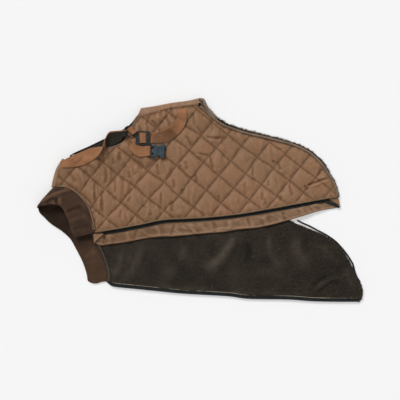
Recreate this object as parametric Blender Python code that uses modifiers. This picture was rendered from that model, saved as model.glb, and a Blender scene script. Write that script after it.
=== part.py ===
"""Dog winter coat, laid on its side on a flat surface with its spine zip open.

The coat wraps the dog from below: a near half and a far half meet at folds along the chest and
the belly, and a separating zip joins them along the spine. Here the near half lies on top with
its quilted outer cloth up, and the far half lies under it, drawn out past it, with its plush
lining up. A ribbed collar closes the neck, and webbing with a D-ring, a strap adjuster and one
half of a side-release buckle runs between the front legs.

+X runs from the collar to the tail, +Y from the spine edge to the belly fold, +Z up from the
surface that the coat lies on. The tables are in millimetres; the model is in metres.
"""

import math

import bmesh
import bpy
from mathutils import Vector

MM = 0.001

# ---------------------------------------------------------------- driving dimensions, mm
SHELL = 1.8            # quilted outer cloth with its wadding
PLUSH = 3.0            # lining cloth with its pile
GAP = 0.4              # clear distance between two cloths that lie on each other
COLLAR_WALL = 4.0      # doubled rib knit
PIPING_R = 1.3         # corded piping along the sewn edges
WEBBING = 1.5          # thickness of the webbing
TAPE = 0.9             # thickness of the zip's tape
GUARD = 1.4            # thickness of the under-flap behind the zip
TABLE_CLEARANCE = 0.2  # underside of the near half where nothing lies below it
SAG_START = 12.0       # distance past the far half's edge at which the near half starts to drop
SAG_LENGTH = 55.0      # distance over which it then comes down to the surface
FOLD_LOFT = 5.0        # how far the near half is held up at the folded edges
LOFT_REACH = 70.0      # distance from a fold at which that lift has gone
ELASTIC_R = 1.8        # rear leg elastic

FAR_SHELL_Z = 0.0
FAR_LINING_Z = FAR_SHELL_Z + SHELL + GAP
NEAR_REST_Z = FAR_LINING_Z + PLUSH + GAP          # underside of the near half on the far half
NEAR_BUILD = PLUSH + GAP + SHELL                  # thickness of the near half

ZIP_TAPE_IN = 7.0      # how far each zip tape reaches into the cloth
ZIP_TAPE_OUT = 5.5     # how far the near tape stands out past the spine edge
GUARD_IN = 13.0        # how far the under-flap reaches in from the spine edge
COLLAR_CLEAR = 0.35    # share of the chest panel's first section left free for the collar seam
GUARD_LIFT = 0.4       # its underside above the near half's underside
GUARD_NECK_TRIM = 0.5  # share of its first section cut back at the neck seam
GARAGE = 1.2           # thickness of the triangles over the zip's ends
PIPING_INSET = 2.2     # piping's middle, in from the edge
BINDING_OUT = 1.8      # the leg binding's middle, out from the far half's edge
LINING_ZIP_INSET = 14.0    # near lining's spine edge, in from the zip, clear of the under-flap
LINING_NECK_INSET = 4.0    # its neck edge, in from the neck seam
LINING_RUMP_OUT = 3.0      # how far it shows past the rump edge
FOLD_INSET = 9.5       # far lining's edge, in from the outside of the belly fold

COLLAR_STEPS = 11      # sections along each side of the collar
COLLAR_TURNS = 6       # steps round its fold
COLLAR_CROSS = 4       # faces from seam to mouth
COLLAR_SEAM_GAP = 2.4  # from the neck edge to the middle of the collar's seam edge
COLLAR_GAPE = 11.0     # how far the mouth's near lip stands up along its middle
COLLAR_FOLD_RISE = 3.0     # and at the fold
COLLAR_FOLD_SEAM = 3.0     # how far the fold rounds out at the seam
COLLAR_FOLD_MOUTH = 8.0    # and at the mouth
COLLAR_SWELL = 0.14    # share of the mouth's height by which the band bows up between its edges

# ---------------------------------------------------------------- edges, mm, columns x, y
SPINE_NEAR = [(-213, -67), (-165, -59.5), (-120, -51), (-75, -42), (-30, -39.5), (20, -36.5),
              (80, -30), (140, -20), (200, -9), (250, 0), (280, 5)]
NECK_NEAR = [(-213, -67), (-217, -50), (-221, -32), (-228, -14), (-238, 1), (-250, 13),
             (-264, 22.5), (-279, 26.5), (-293, 26)]
CHEST_SEAM_NEAR = [(-293, 26), (-290, 43), (-284, 62), (-273, 81)]
ARMHOLE_NEAR = [(-273, 81), (-250, 88), (-222, 96), (-195, 102), (-172, 108), (-154, 118),
                (-143, 138), (-134, 155), (-128, 167)]
BELLY_SEAM_NEAR = [(-128, 167), (-108, 170), (-85, 178), (-58, 184.5), (-28, 189), (-4, 191)]
RUMP_NEAR = [(-4, 191), (10, 180), (25, 166), (45, 152), (70, 142), (100, 133), (140, 124),
             (185, 112), (210, 102), (230, 89), (248, 71), (262, 50)]
TAIL_NEAR = [(280, 5), (277, 20), (271, 36), (262, 50)]

CHEST_FOLD = [(-304, 22), (-300, 42), (-293, 64), (-281, 84)]
BELLY_FOLD = [(-120, 187), (-95, 190.5), (-58, 197.5), (-25, 202), (1, 208)]

SPINE_FAR = [(-189, -171), (-176, -178), (-140, -182), (-90, -187), (-40, -192), (10, -195),
             (60, -198), (100, -203), (180, -204.5), (230, -208), (280, -209), (324, -209)]
TAIL_FAR = [(324, -209), (330, -200), (331, -186), (326, -168), (317, -155)]
RUMP_FAR = [(317, -155), (311, -139), (298, -115), (280, -92), (260, -77), (230, -63.5),
            (197, -50), (140, -20), (90, 15), (45, 58), (18, 100)]
BELLY_SEAM_FAR = [(18, 100), (-40, 103), (-100, 116), (-149, 146)]
ARMHOLE_FAR = [(-149, 146), (-172, 133), (-200, 119.5), (-228, 106), (-255, 94), (-268, 86)]
CHEST_SEAM_FAR = [(-268, 86), (-279, 66), (-285, 46), (-288, 26)]
NECK_FAR = [(-288, 26), (-272, 2), (-254, -26), (-232, -61), (-211, -95), (-199, -120),
            (-191, -147), (-189, -171)]

COLLAR_MOUTH_NEAR = [(-254, -76), (-258, -69), (-263, -55), (-268, -39), (-274, -24),
                     (-283, -12.5), (-297, -8.5), (-312, -8.5), (-323, -9)]
COLLAR_MOUTH_FAR = [(-323, -14), (-318, -31), (-303, -48), (-279, -65.5), (-262, -81),
                    (-249, -101), (-239, -120), (-232, -141), (-226, -168)]

GUARD_FOLD = [(-217, -88), (-202, -93.5), (-180, -91), (-150, -87), (-120, -81), (-100, -78),
              (-75, -76), (-50, -75), (0, -70), (50, -66), (80, -61), (120, -57), (160, -48),
              (205, -35), (245, -23), (285, -16)]
GARAGE_NECK = [(-217, -71), (-216, -86), (-198.5, -71)]
GARAGE_TAIL = [(283, 1), (285, -15), (265.5, -3)]

# Webbing as pairs of edge points. Columns: first edge x, y, lift above the near half's top, then
# the same for the second edge.
CHEST_STRAP = [
    (-283, 77, 1.2, -280, 65, 1.2),
    (-262, 88, 1.4, -260, 66, 1.4),
    (-241, 97, 1.6, -238, 70, 2.0),
    (-224, 104, 1.6, -219, 79, 4.0),
    (-211, 106.5, 1.4, -207, 88, 8.0),
    (-203, 107, 1.3, -199, 98, 13.0),
    (-196.5, 106.5, 1.2, -194.5, 111, 16.5),
    (-190, 107, 1.2, -191, 124, 13.0),
    (-181, 109.5, 1.2, -184, 135, 7.5),
    (-171, 114, 1.2, -173, 138.5, 3.2),
    (-162, 122, 1.2, -162, 142, 1.4),
    (-154, 128, 1.4, -154, 145, 1.4),
    (-146.5, 131.5, 1.6, -146.5, 146, 1.6),
    (-142, 132, 3.2, -142, 146, 3.2),
    (-140.5, 132, 5.0, -140.5, 146, 5.0),
    (-142, 132, 6.8, -142, 146, 6.8),
    (-147, 131.5, 7.8, -147, 146.5, 7.8),
    (-156, 128.5, 7.6, -156, 145.5, 7.6),
    (-162, 124, 6.4, -162, 142.5, 6.4),
    (-167, 121, 4.8, -167, 140, 5.4),
]
BELLY_STRAP = [
    (-27, 186, 1.2, -47, 183, 1.2),
    (-27, 172, 1.4, -47, 172, 2.0),
    (-29, 156, 2.6, -49, 160, 5.4),
    (-37, 141, 2.8, -56, 150, 8.8),
    (-50, 128, 2.0, -65, 145, 8.8),
    (-66, 118, 1.6, -78, 141, 5.4),
    (-84, 115.5, 1.3, -90, 138, 2.4),
    (-99, 115, 1.2, -99, 135.5, 1.2),
    (-105, 115, 1.4, -105, 135.5, 1.4),
    (-111.5, 115, 7.5, -111.5, 135.5, 7.5),
    (-118.5, 115, 7.5, -118.5, 135.5, 7.2),
    (-124.3, 115, 1.6, -124.3, 135.5, 1.4),
    (-132, 117, 1.2, -131, 135.5, 1.2),
]
BUCKLE_STRAP = [
    (-144, 106, 1.2, -150, 118, 1.2),
    (-138, 98, 1.2, -143, 114, 1.2),
    (-131, 90, 1.2, -133, 109.5, 1.4),
    (-122, 87, 1.8, -122, 109, 2.0),
    (-114, 88, 5.0, -113.5, 108.6, 5.0),
    (-108, 88.5, 7.3, -107.5, 108.8, 7.3),
    (-103, 88.7, 7.3, -102.3, 109, 7.3),
    (-101, 88.7, 5.6, -100.2, 109, 5.6),
]

# Hard pieces. Columns of a centre: x, y, lift of the centre above the near half's top.
RING_CENTRE = (-143.5, 139, 4.7)
RING_R = 10.0
RING_WIRE_R = 1.5
GLIDE_CENTRE = (-115, 125, 4.9)
GLIDE_SIZE = (27.0, 31.0)
GLIDE_BAR = 3.2
GLIDE_THICK = 2.4
GLIDE_CORNER = 6.0
BUCKLE_CENTRE = (-85, 99, 5.9)
BUCKLE_TURN = math.radians(-2.5)
BUCKLE_LENGTH = 27.0
BUCKLE_WIDTH = 28.0
BUCKLE_HEIGHT = 9.0
BUCKLE_WAIST = 4.0                    # how far each side pulls in at the middle
BUCKLE_SOCKET = (20.0, 19.0, 5.0)     # depth, width and height of the mouth
YOKE_LENGTH = 7.5                     # how far the strap's yoke stands out of the body
YOKE_BAR = 3.2
YOKE_SIDE = 2.6
YOKE_THICK = 3.6

# Rear leg elastic: how far it stands off the far half's edge. Columns: share of its run, gap.
ELASTIC_OFF = [(0.0, 0.5), (0.06, 0.5), (0.14, 3.0), (0.25, 2.0), (0.4, 1.0), (0.55, 1.0),
               (0.7, 2.5), (0.85, 5.0), (1.0, 6.0)]
ELASTIC_END = 0.42                    # share of the rump edge along which the elastic shows

# ---------------------------------------------------------------- finishes
FINISHES = {
    # name: base colour, roughness, metallic
    "quilted_cloth": ((0.25, 0.135, 0.07), 0.5, 0.0),
    "plush": ((0.045, 0.036, 0.028), 0.95, 0.0),
    "rib_knit": ((0.10, 0.055, 0.034), 0.9, 0.0),
    "webbing": ((0.33, 0.155, 0.075), 0.6, 0.0),
    "piping_cloth": ((0.22, 0.13, 0.075), 0.6, 0.0),
    "zip_black": ((0.012, 0.014, 0.014), 0.55, 0.0),
    "black_plastic": ((0.035, 0.05, 0.06), 0.4, 0.0),
    "dark_metal": ((0.05, 0.055, 0.06), 0.35, 0.9),
    "elastic": ((0.01, 0.01, 0.011), 0.7, 0.0),
}


def finish(name):
    """The material of that finish, made once."""
    material = bpy.data.materials.get(name)
    if material is None:
        material = bpy.data.materials.new(name)
        material.use_nodes = True
        shader = material.node_tree.nodes["Principled BSDF"]
        colour, roughness, metallic = FINISHES[name]
        shader.inputs["Base Color"].default_value = (*colour, 1)
        shader.inputs["Roughness"].default_value = roughness
        shader.inputs["Metallic"].default_value = metallic
    return material


# ---------------------------------------------------------------- curves in the plane
def sample(points, count):
    """count + 1 points, evenly spaced along a smooth curve through the given ones, in mm."""
    ends = [Vector(p) for p in points]
    guide = [2 * ends[0] - ends[1], *ends, 2 * ends[-1] - ends[-2]]
    dense = []
    for before, start, stop, after in zip(guide, guide[1:], guide[2:], guide[3:]):
        for step in range(16):
            t = step / 16
            dense.append(0.5 * (2 * start + (stop - before) * t
                                + (2 * before - 5 * start + 4 * stop - after) * t * t
                                + (3 * start - before - 3 * stop + after) * t ** 3))
    dense.append(ends[-1])
    travelled = [0.0]
    for a, b in zip(dense, dense[1:]):
        travelled.append(travelled[-1] + (b - a).length)
    found, k = [], 0
    for i in range(count + 1):
        target = travelled[-1] * i / count
        while k < len(dense) - 2 and travelled[k + 1] < target:
            k += 1
        span = travelled[k + 1] - travelled[k]
        found.append(dense[k].lerp(dense[k + 1], min(1.0, (target - travelled[k]) / span)))
    return found


def joined(*runs):
    """One list of points from runs that meet end to start."""
    points = list(runs[0])
    for run in runs[1:]:
        points += run[1:]
    return points


def moved_left(points, distance):
    """The points moved by distance to the left of their direction of travel, in the plane."""
    found = []
    for i, p in enumerate(points):
        ahead = points[min(i + 1, len(points) - 1)] - points[max(i - 1, 0)]
        found.append(p + Vector((-ahead.y, ahead.x)).normalized() * distance)
    return found


def distance_to(point, line):
    """The shortest distance from a point to a polyline in the plane."""
    best = math.inf
    for a, b in zip(line, line[1:]):
        share = max(0.0, min(1.0, (point - a).dot(b - a) / (b - a).length_squared))
        best = min(best, (point - a.lerp(b, share)).length)
    return best


FAR_RIGHT_EDGE = [Vector(p) for p in joined(TAIL_FAR, RUMP_FAR)] + [Vector((1, 208))]
FOLD_LINE = [Vector(p) for p in joined(CHEST_FOLD, ARMHOLE_NEAR, BELLY_FOLD)]


def eased(share):
    """A share from 0 to 1 with a level start and end."""
    share = max(0.0, min(1.0, share))
    return share * share * (3 - 2 * share)


def edge_x_at(y):
    """Where the far half's right-hand edge lies at that y, or None past its ends."""
    for a, b in zip(FAR_RIGHT_EDGE, FAR_RIGHT_EDGE[1:]):
        if a.y <= y < b.y:
            return a.x + (b.x - a.x) * (y - a.y) / (b.y - a.y)
    return None


def rest_height(point):
    """The height of the near half's underside: on the far half, or down on the surface."""
    loft = FOLD_LOFT * (1 - eased(distance_to(point, FOLD_LINE) / LOFT_REACH))
    edge_x = edge_x_at(point.y)
    if edge_x is None or point.x <= edge_x:
        return NEAR_REST_Z + loft
    share = eased((distance_to(point, FAR_RIGHT_EDGE) - SAG_START) / SAG_LENGTH)
    return (NEAR_REST_Z + loft) * (1 - share) + TABLE_CLEARANCE * share


# ---------------------------------------------------------------- builders
def place(obj, finish_name):
    """Links a new object to the coat's collection with its material."""
    obj.data.materials.append(finish(finish_name))
    COAT.objects.link(obj)
    return obj


def cloth(name, rows, thickness, finish_name):
    """A wall of cloth through rows of points (mm, on its middle surface)."""
    mesh = bpy.data.meshes.new(name)
    body = bmesh.new()
    grid = [[body.verts.new(Vector(p) * MM) for p in row] for row in rows]
    for low, high in zip(grid, grid[1:]):
        for i in range(len(low) - 1):
            body.faces.new((low[i], low[i + 1], high[i + 1], high[i]))
    body.to_mesh(mesh)
    body.free()
    obj = place(bpy.data.objects.new(name, mesh), finish_name)
    wall = obj.modifiers.new("wall", "SOLIDIFY")
    wall.thickness = thickness * MM
    wall.offset = 0
    mesh.shade_smooth()
    return obj


def flat_cloth(name, outlines, low, thickness, finish_name):
    """A flat wall with the given outline, and holes where more follow, from height low upwards."""
    curve = bpy.data.curves.new(name, "CURVE")
    curve.dimensions = "2D"
    curve.fill_mode = "BOTH"
    curve.extrude = thickness / 2 * MM
    for outline in outlines:
        spline = curve.splines.new("POLY")
        spline.points.add(len(outline) - 1)
        for target, p in zip(spline.points, outline):
            target.co = (p.x * MM, p.y * MM, 0, 1)
        spline.use_cyclic_u = True
    obj = place(bpy.data.objects.new(name, curve), finish_name)
    obj.location.z = (low + thickness / 2) * MM
    return obj


def cord(name, points, radius, finish_name, closed=False):
    """A round cord through points in mm."""
    curve = bpy.data.curves.new(name, "CURVE")
    curve.dimensions = "3D"
    curve.bevel_depth = radius * MM
    curve.bevel_resolution = 1
    curve.use_fill_caps = not closed
    spline = curve.splines.new("POLY")
    spline.points.add(len(points) - 1)
    for target, p in zip(spline.points, points):
        target.co = (*(Vector(p) * MM), 1)
    spline.use_cyclic_u = closed
    return place(bpy.data.objects.new(name, curve), finish_name)


def patch(bottom, top, left, right):
    """Rows of plan points that fill four edges: bottom and top run in +X, left and right up."""
    across, up = len(bottom) - 1, len(left) - 1
    rows = []
    for j in range(up + 1):
        v = j / up
        row = []
        for i in range(across + 1):
            u = i / across
            ruled = bottom[i] * (1 - v) + top[i] * v + left[j] * (1 - u) + right[j] * u
            corners = ((bottom[0] * (1 - u) + bottom[-1] * u) * (1 - v)
                       + (top[0] * (1 - u) + top[-1] * u) * v)
            row.append(ruled - corners)
        rows.append(row)
    return rows


def above_rest(point, lift):
    """A plan point at that lift above the near half's underside."""
    return Vector((point[0], point[1], rest_height(Vector(point[:2])) + lift))


def above_top(point, lift):
    """A plan point at that lift above the near half's outer cloth."""
    return above_rest(point, NEAR_BUILD + lift)


# ---------------------------------------------------------------- the two halves
def near_edges(spine_inset, neck_inset, rump_out):
    """The near half's edges, spine, top, neck and tail, with points that face each other."""
    spine = moved_left(sample(SPINE_NEAR, 35), spine_inset)
    top = joined(sample(CHEST_SEAM_NEAR, 3), sample(ARMHOLE_NEAR, 9), sample(BELLY_SEAM_NEAR, 7),
                 moved_left(sample(RUMP_NEAR, 16), rump_out))
    neck = moved_left(sample([spine[0], *NECK_NEAR[2:]], 8), -neck_inset)
    tail = moved_left(sample([spine[-1], *TAIL_NEAR[2:]], 8), -rump_out)
    neck[0], tail[0] = spine[0], spine[-1]
    neck[-1], tail[-1] = top[0], top[-1]
    return spine, top, neck, tail


def shell_near():
    """The quilted outer cloth of the near half, from its neck seam to its tail corner."""
    middle = PLUSH + GAP + SHELL / 2
    rows = [[above_rest(p, middle) for p in row] for row in patch(*near_edges(0, 0, 0))]
    return cloth("shell_near", rows, SHELL, "quilted_cloth")


def lining_near():
    """The plush under the near half: it stops short of the zip and shows past the rump edge."""
    rows = [[above_rest(p, PLUSH / 2) for p in row]
            for row in patch(*near_edges(LINING_ZIP_INSET, LINING_NECK_INSET, LINING_RUMP_OUT))]
    return cloth("lining_near", rows, PLUSH, "plush")


def shell_far():
    """The outer cloth of the far half, face down and flat on the surface."""
    outline = joined(sample(SPINE_FAR, 26), sample(TAIL_FAR, 6), sample(RUMP_FAR, 24),
                     sample(BELLY_SEAM_FAR, 8), sample(ARMHOLE_FAR, 5),
                     sample(CHEST_SEAM_FAR, 3), sample(NECK_FAR, 12))
    return flat_cloth("shell_far", [outline[:-1]], FAR_SHELL_Z, SHELL, "quilted_cloth")


def lining_far():
    """The plush lining of the far half, over its outer cloth and the belly panel's."""
    fold = [p for p in reversed(moved_left(sample(BELLY_FOLD, 8), -FOLD_INSET)) if p.x < 0]
    hem = sample([RUMP_FAR[-1], (14, 150), (fold[0].x + 4, fold[0].y)], 6)
    armhole_top = sample([(-124, 176), (-134, 160), ARMHOLE_FAR[0]], 4)
    chest = moved_left(sample(CHEST_SEAM_FAR, 3), FOLD_INSET / 2)
    neck = sample(NECK_FAR, 12)
    outline = [*moved_left(sample(SPINE_FAR, 26), ZIP_TAPE_IN + GAP)[:-1],
               *sample(TAIL_FAR, 6)[1:], *sample(RUMP_FAR, 24)[1:], *hem[1:], *fold,
               *armhole_top, *sample(ARMHOLE_FAR, 5)[1:-1], *chest, *neck[1:-1]]
    return flat_cloth("lining_far", [outline], FAR_LINING_Z, PLUSH, "plush")


def folded_panel(name, near, fold, far):
    """Cloth from a near seam over a folded edge and back along the surface to a far seam."""
    rows = []
    for n, f, r in zip(near, fold, far):
        top = above_top(f, -SHELL / 2).z
        radius = (top - SHELL / 2) / 2
        out = (f - n).normalized()
        centre = f - out * (radius + SHELL / 2)
        section = [above_top(n, -SHELL / 2)]
        for step in range(9):
            turn = math.pi / 2 - math.pi * step / 8
            p = centre + out * radius * math.cos(turn)
            section.append(Vector((p.x, p.y, SHELL / 2 + radius * (1 + math.sin(turn)))))
        section.append(Vector((r.x, r.y, SHELL / 2)))
        rows.append(section)
    return cloth(name, rows, SHELL, "quilted_cloth")


def belly_panel():
    """The belly panel: a narrow strip on top, round the belly fold, and on underneath."""
    near = moved_left(sample(BELLY_SEAM_NEAR, 8), GAP)
    far = moved_left(list(reversed(sample(BELLY_SEAM_FAR, 8))), GAP)
    return folded_panel("belly_panel", near, sample(BELLY_FOLD, 8), far)


def chest_panel():
    """The chest panel, round the chest fold between the collar and the leg opening."""
    near = moved_left(sample(CHEST_SEAM_NEAR, 5), GAP)
    far = moved_left(list(reversed(sample(CHEST_SEAM_FAR, 5))), GAP)
    fold = sample(CHEST_FOLD, 5)
    for run in (near, fold, far):
        run[0] = run[0].lerp(run[1], COLLAR_CLEAR)
    return folded_panel("chest_panel", near, fold, far)


# ---------------------------------------------------------------- the collar
def collar_sections():
    """Cross-lines from the neck seam to the mouth, near end to far end: seam, mouth, heights."""
    seam_near = moved_left(sample(NECK_NEAR, COLLAR_STEPS), COLLAR_SEAM_GAP)
    seam_far = moved_left(sample(NECK_FAR, COLLAR_STEPS), -GAP * 1.5)
    mouth_near = sample(COLLAR_MOUTH_NEAR, COLLAR_STEPS)
    mouth_far = sample(COLLAR_MOUTH_FAR, COLLAR_STEPS)
    low = COLLAR_WALL / 2
    sections = []
    for i, (seam, mouth) in enumerate(zip(seam_near, mouth_near)):
        seam_z = above_top(seam, -COLLAR_WALL / 2).z
        share = i / COLLAR_STEPS
        arch = math.sin(math.pi * share) ** 0.7 * COLLAR_GAPE + share * COLLAR_FOLD_RISE
        sections.append((seam, mouth, seam_z, seam_z + arch))
    last = sections[-1]
    for step in range(1, COLLAR_TURNS):
        turn = math.pi / 2 - math.pi * step / COLLAR_TURNS
        share = step / COLLAR_TURNS
        out = Vector((-1, 0.6)).normalized() * math.cos(turn)
        seam = last[0].lerp(seam_far[0], share) + out * COLLAR_FOLD_SEAM
        mouth = last[1].lerp(mouth_far[0], share) + out * COLLAR_FOLD_MOUTH
        height = (1 + math.sin(turn)) / 2
        sections.append((seam, mouth, low + (last[2] - low) * height,
                         low + (last[3] - low) * height))
    sections += [(seam, mouth, low, low) for seam, mouth in zip(seam_far, mouth_far)]
    return sections


def collar():
    """The ribbed collar, one band from its near spine end round the fold to its far one."""
    rows = []
    for seam, mouth, seam_z, mouth_z in collar_sections():
        row = []
        for step in range(COLLAR_CROSS + 1):
            share = step / COLLAR_CROSS
            p = seam.lerp(mouth, share)
            swell = math.sin(math.pi * share) * (mouth_z - COLLAR_WALL / 2) * COLLAR_SWELL
            row.append(Vector((p.x, p.y, seam_z + (mouth_z - seam_z) * share + swell)))
        rows.append(row)
    return cloth("collar", rows, COLLAR_WALL, "rib_knit")


# ---------------------------------------------------------------- trims
def piping(name, run, count, inset, trim=0):
    """Corded piping on the near half's edge, moved in from it, with its ends trimmed."""
    points = moved_left(sample(run, count), inset)
    points = points[trim:len(points) - trim]
    return cord(name, [above_top(p, GAP + PIPING_R) for p in points], PIPING_R, "piping_cloth")


def strip(name, inner, outer, low, thickness, finish_name):
    """A band between two lines, its underside at a lift above the near half's underside."""
    middle = low + thickness / 2
    rows = [[above_rest(a, middle), above_rest((a + b) / 2, middle), above_rest(b, middle)]
            for a, b in zip(inner, outer)]
    return cloth(name, rows, thickness, finish_name)


def zip_near():
    """The near zip tape: under the outer cloth's spine edge, standing out past it."""
    spine = sample(SPINE_NEAR, 30)
    inner, outer = moved_left(spine, ZIP_TAPE_IN), moved_left(spine, -ZIP_TAPE_OUT)
    return strip("zip_near", inner[1:-1], outer[1:-1], PLUSH - TAPE, TAPE, "zip_black")


def zip_guard():
    """The under-flap behind the zip, of outer cloth folded along its lower edge."""
    inner = moved_left(sample(SPINE_NEAR, 30), GUARD_IN)
    inner[0] = inner[0].lerp(inner[1], GUARD_NECK_TRIM)
    outer = sample(GUARD_FOLD, 30)
    return strip("zip_guard", inner, outer, GUARD_LIFT, GUARD, "quilted_cloth")


def zip_garage(name, corners):
    """A small triangle of outer cloth that covers one end of the near zip."""
    outline = [Vector(corner) for corner in corners]
    low = max(rest_height(corner) for corner in outline) + GUARD_LIFT + GUARD + GAP
    return flat_cloth(name, [outline], low, GARAGE, "quilted_cloth")


def zip_far():
    """The far zip tape, on the far half's outer cloth where the lining stops short of it."""
    spine = sample(SPINE_FAR, 26)
    inner = list(reversed(moved_left(spine, ZIP_TAPE_IN)))
    return flat_cloth("zip_far", [spine + inner], FAR_LINING_Z, TAPE, "zip_black")


def armhole_binding():
    """The bound edge of the far half at the leg opening."""
    run = sample([(-124, 176), (-134, 160), *ARMHOLE_FAR], 12)
    points = [Vector((p.x, p.y, FAR_LINING_Z + PIPING_R)) for p in moved_left(run, -BINDING_OUT)]
    return cord("armhole_binding", points[1:-1], PIPING_R, "elastic")


def leg_elastic():
    """The elastic that draws in the rear leg edge, slack and slightly off it in places."""
    run = sample(RUMP_FAR, 60)
    count = round(60 * ELASTIC_END)
    points = []
    for i in range(count + 1):
        share = i / count
        for (before, gap), (after, next_gap) in zip(ELASTIC_OFF, ELASTIC_OFF[1:]):
            if before <= share <= after:
                off = gap + (next_gap - gap) * (share - before) / (after - before)
        ahead = run[i + 1] - run[max(i - 1, 0)]
        out = Vector((ahead.y, -ahead.x)).normalized() * (off + ELASTIC_R)
        points.append((run[i].x + out.x, run[i].y + out.y, ELASTIC_R + 0.1))
    return cord("leg_elastic", points, ELASTIC_R, "elastic")


# ---------------------------------------------------------------- webbing and its hardware
def webbing(name, table):
    """Flat webbing through the pairs of edge points of its table."""
    rows = []
    for x1, y1, lift1, x2, y2, lift2 in table:
        first, second = above_top((x1, y1), lift1), above_top((x2, y2), lift2)
        rows.append([first, (first + second) / 2, second])
    return cloth(name, rows, WEBBING, "webbing")


def ring():
    """The round metal ring that joins the chest strap to the buckle strap."""
    centre = above_top(RING_CENTRE[:2], RING_CENTRE[2])
    points = []
    for step in range(20):
        turn = math.tau * step / 20
        points.append(centre + Vector((math.cos(turn), math.sin(turn), 0)) * RING_R)
    return cord("strap_ring", points, RING_WIRE_R, "dark_metal", closed=True)


def rounded_box(centre, size, corner, steps=4):
    """A rectangle's outline with round corners."""
    points = []
    for quarter, (sx, sy) in enumerate([(1, 1), (-1, 1), (-1, -1), (1, -1)]):
        middle = Vector((centre[0] + sx * (size[0] / 2 - corner),
                         centre[1] + sy * (size[1] / 2 - corner)))
        for step in range(steps + 1):
            turn = math.pi / 2 * (quarter + step / steps)
            points.append(middle + Vector((math.cos(turn), math.sin(turn))) * corner)
    return points


def strap_glide():
    """The three-bar glide that sets the belly strap's length."""
    width, height = GLIDE_SIZE
    window = ((width - 3 * GLIDE_BAR) / 2, height - 2 * GLIDE_BAR)
    shift = (window[0] + GLIDE_BAR) / 2
    x, y, lift = GLIDE_CENTRE
    outlines = [rounded_box((x, y), GLIDE_SIZE, GLIDE_CORNER),
                rounded_box((x - shift, y), window, GLIDE_BAR / 2),
                rounded_box((x + shift, y), window, GLIDE_BAR / 2)]
    low = above_top((x, y), lift).z - GLIDE_THICK / 2
    return flat_cloth("strap_glide", outlines, low, GLIDE_THICK, "black_plastic")


def block(name, centre, size, collection):
    """A box in mm; its size is in its mesh, so that later modifiers keep their widths."""
    mesh = bpy.data.meshes.new(name)
    body = bmesh.new()
    bmesh.ops.create_cube(body, size=1)
    bmesh.ops.scale(body, vec=Vector(size) * MM, verts=body.verts)
    bmesh.ops.translate(body, vec=Vector(centre) * MM, verts=body.verts)
    body.to_mesh(mesh)
    body.free()
    obj = bpy.data.objects.new(name, mesh)
    collection.objects.link(obj)
    return obj


def buckle():
    """The socket half of a side-release buckle, open, with the strap's yoke at its back."""
    body = block("buckle", (0, 0, 0), (BUCKLE_LENGTH, BUCKLE_WIDTH, BUCKLE_HEIGHT), COAT)
    body.data.materials.append(finish("black_plastic"))
    edges = body.modifiers.new("edges", "BEVEL")
    edges.width = 1.6 * MM
    edges.segments = 2
    yoke_x = -BUCKLE_LENGTH / 2 - YOKE_LENGTH / 2 + 1
    yoke_low = -BUCKLE_HEIGHT / 2 + YOKE_THICK / 2 + 1
    yoke = block("buckle_yoke", (yoke_x, 0, yoke_low),
                 (YOKE_LENGTH + 2, BUCKLE_WIDTH, YOKE_THICK), CUTTERS)
    slot = block("buckle_slot", (-BUCKLE_LENGTH / 2 - (YOKE_LENGTH - YOKE_BAR) / 2, 0, yoke_low),
                 (YOKE_LENGTH - YOKE_BAR, BUCKLE_WIDTH - 2 * YOKE_SIDE, YOKE_THICK * 3), CUTTERS)
    depth, width, height = BUCKLE_SOCKET
    socket = block("buckle_socket", (BUCKLE_LENGTH / 2 - depth / 2 + 1, 0, 0),
                   (depth + 2, width, height), CUTTERS)
    cuts = [("yoke", yoke, "UNION"), ("slot", slot, "DIFFERENCE"),
            ("socket", socket, "DIFFERENCE")]
    for side in (-1, 1):
        window = block(f"buckle_window_{side}", (0, side * BUCKLE_WIDTH / 2, 0),
                       (BUCKLE_LENGTH * 0.42, 2 * BUCKLE_WAIST, BUCKLE_HEIGHT * 2), CUTTERS)
        cuts.append((f"window{side}", window, "DIFFERENCE"))
    for label, tool, operation in cuts:
        cut = body.modifiers.new(label, "BOOLEAN")
        cut.object = tool
        cut.operation = operation
        tool.display_type = "WIRE"
        tool.hide_render = True
    for obj in [body, *(tool for _, tool, _ in cuts)]:
        obj.location = above_top(BUCKLE_CENTRE[:2], BUCKLE_CENTRE[2]) * MM
        obj.rotation_euler.z = BUCKLE_TURN
    return body


def build_coat():
    """Every piece of the coat, from the surface up."""
    shell_far()
    lining_far()
    belly_panel()
    chest_panel()
    lining_near()
    shell_near()
    collar()
    zip_far()
    zip_near()
    zip_guard()
    zip_garage("zip_garage_neck", GARAGE_NECK)
    zip_garage("zip_garage_tail", GARAGE_TAIL)
    piping("piping_neck", NECK_NEAR, 16, -PIPING_INSET, trim=1)
    piping("piping_spine", SPINE_NEAR, 40, PIPING_INSET)
    piping("piping_rump", joined(TAIL_NEAR, list(reversed(RUMP_NEAR))), 44, PIPING_INSET, trim=1)
    armhole_binding()
    leg_elastic()
    webbing("chest_strap", CHEST_STRAP)
    webbing("belly_strap", BELLY_STRAP)
    webbing("buckle_strap", BUCKLE_STRAP)
    ring()
    strap_glide()
    buckle()


for leftover in list(bpy.data.objects):
    bpy.data.objects.remove(leftover)
COAT = bpy.data.collections.new("dog_winter_coat")
CUTTERS = bpy.data.collections.new("cutters")
bpy.context.scene.collection.children.link(COAT)
bpy.context.scene.collection.children.link(CUTTERS)
build_coat()
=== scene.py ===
"""Looks of the dog winter coat: cloth, plush, knit, webbing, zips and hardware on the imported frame.

The coat lies on its side with its spine zip open. The near half lies on top, quilted side up, and
the far half lies under it, drawn out past it, plush side up. Tables are in millimetres in the
frame of the part: +X to the tail, +Y to the belly fold, +Z up from the surface.
"""

from __future__ import annotations

import logging
import math
from dataclasses import dataclass, replace
from enum import Enum
from typing import Callable, Sequence

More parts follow.
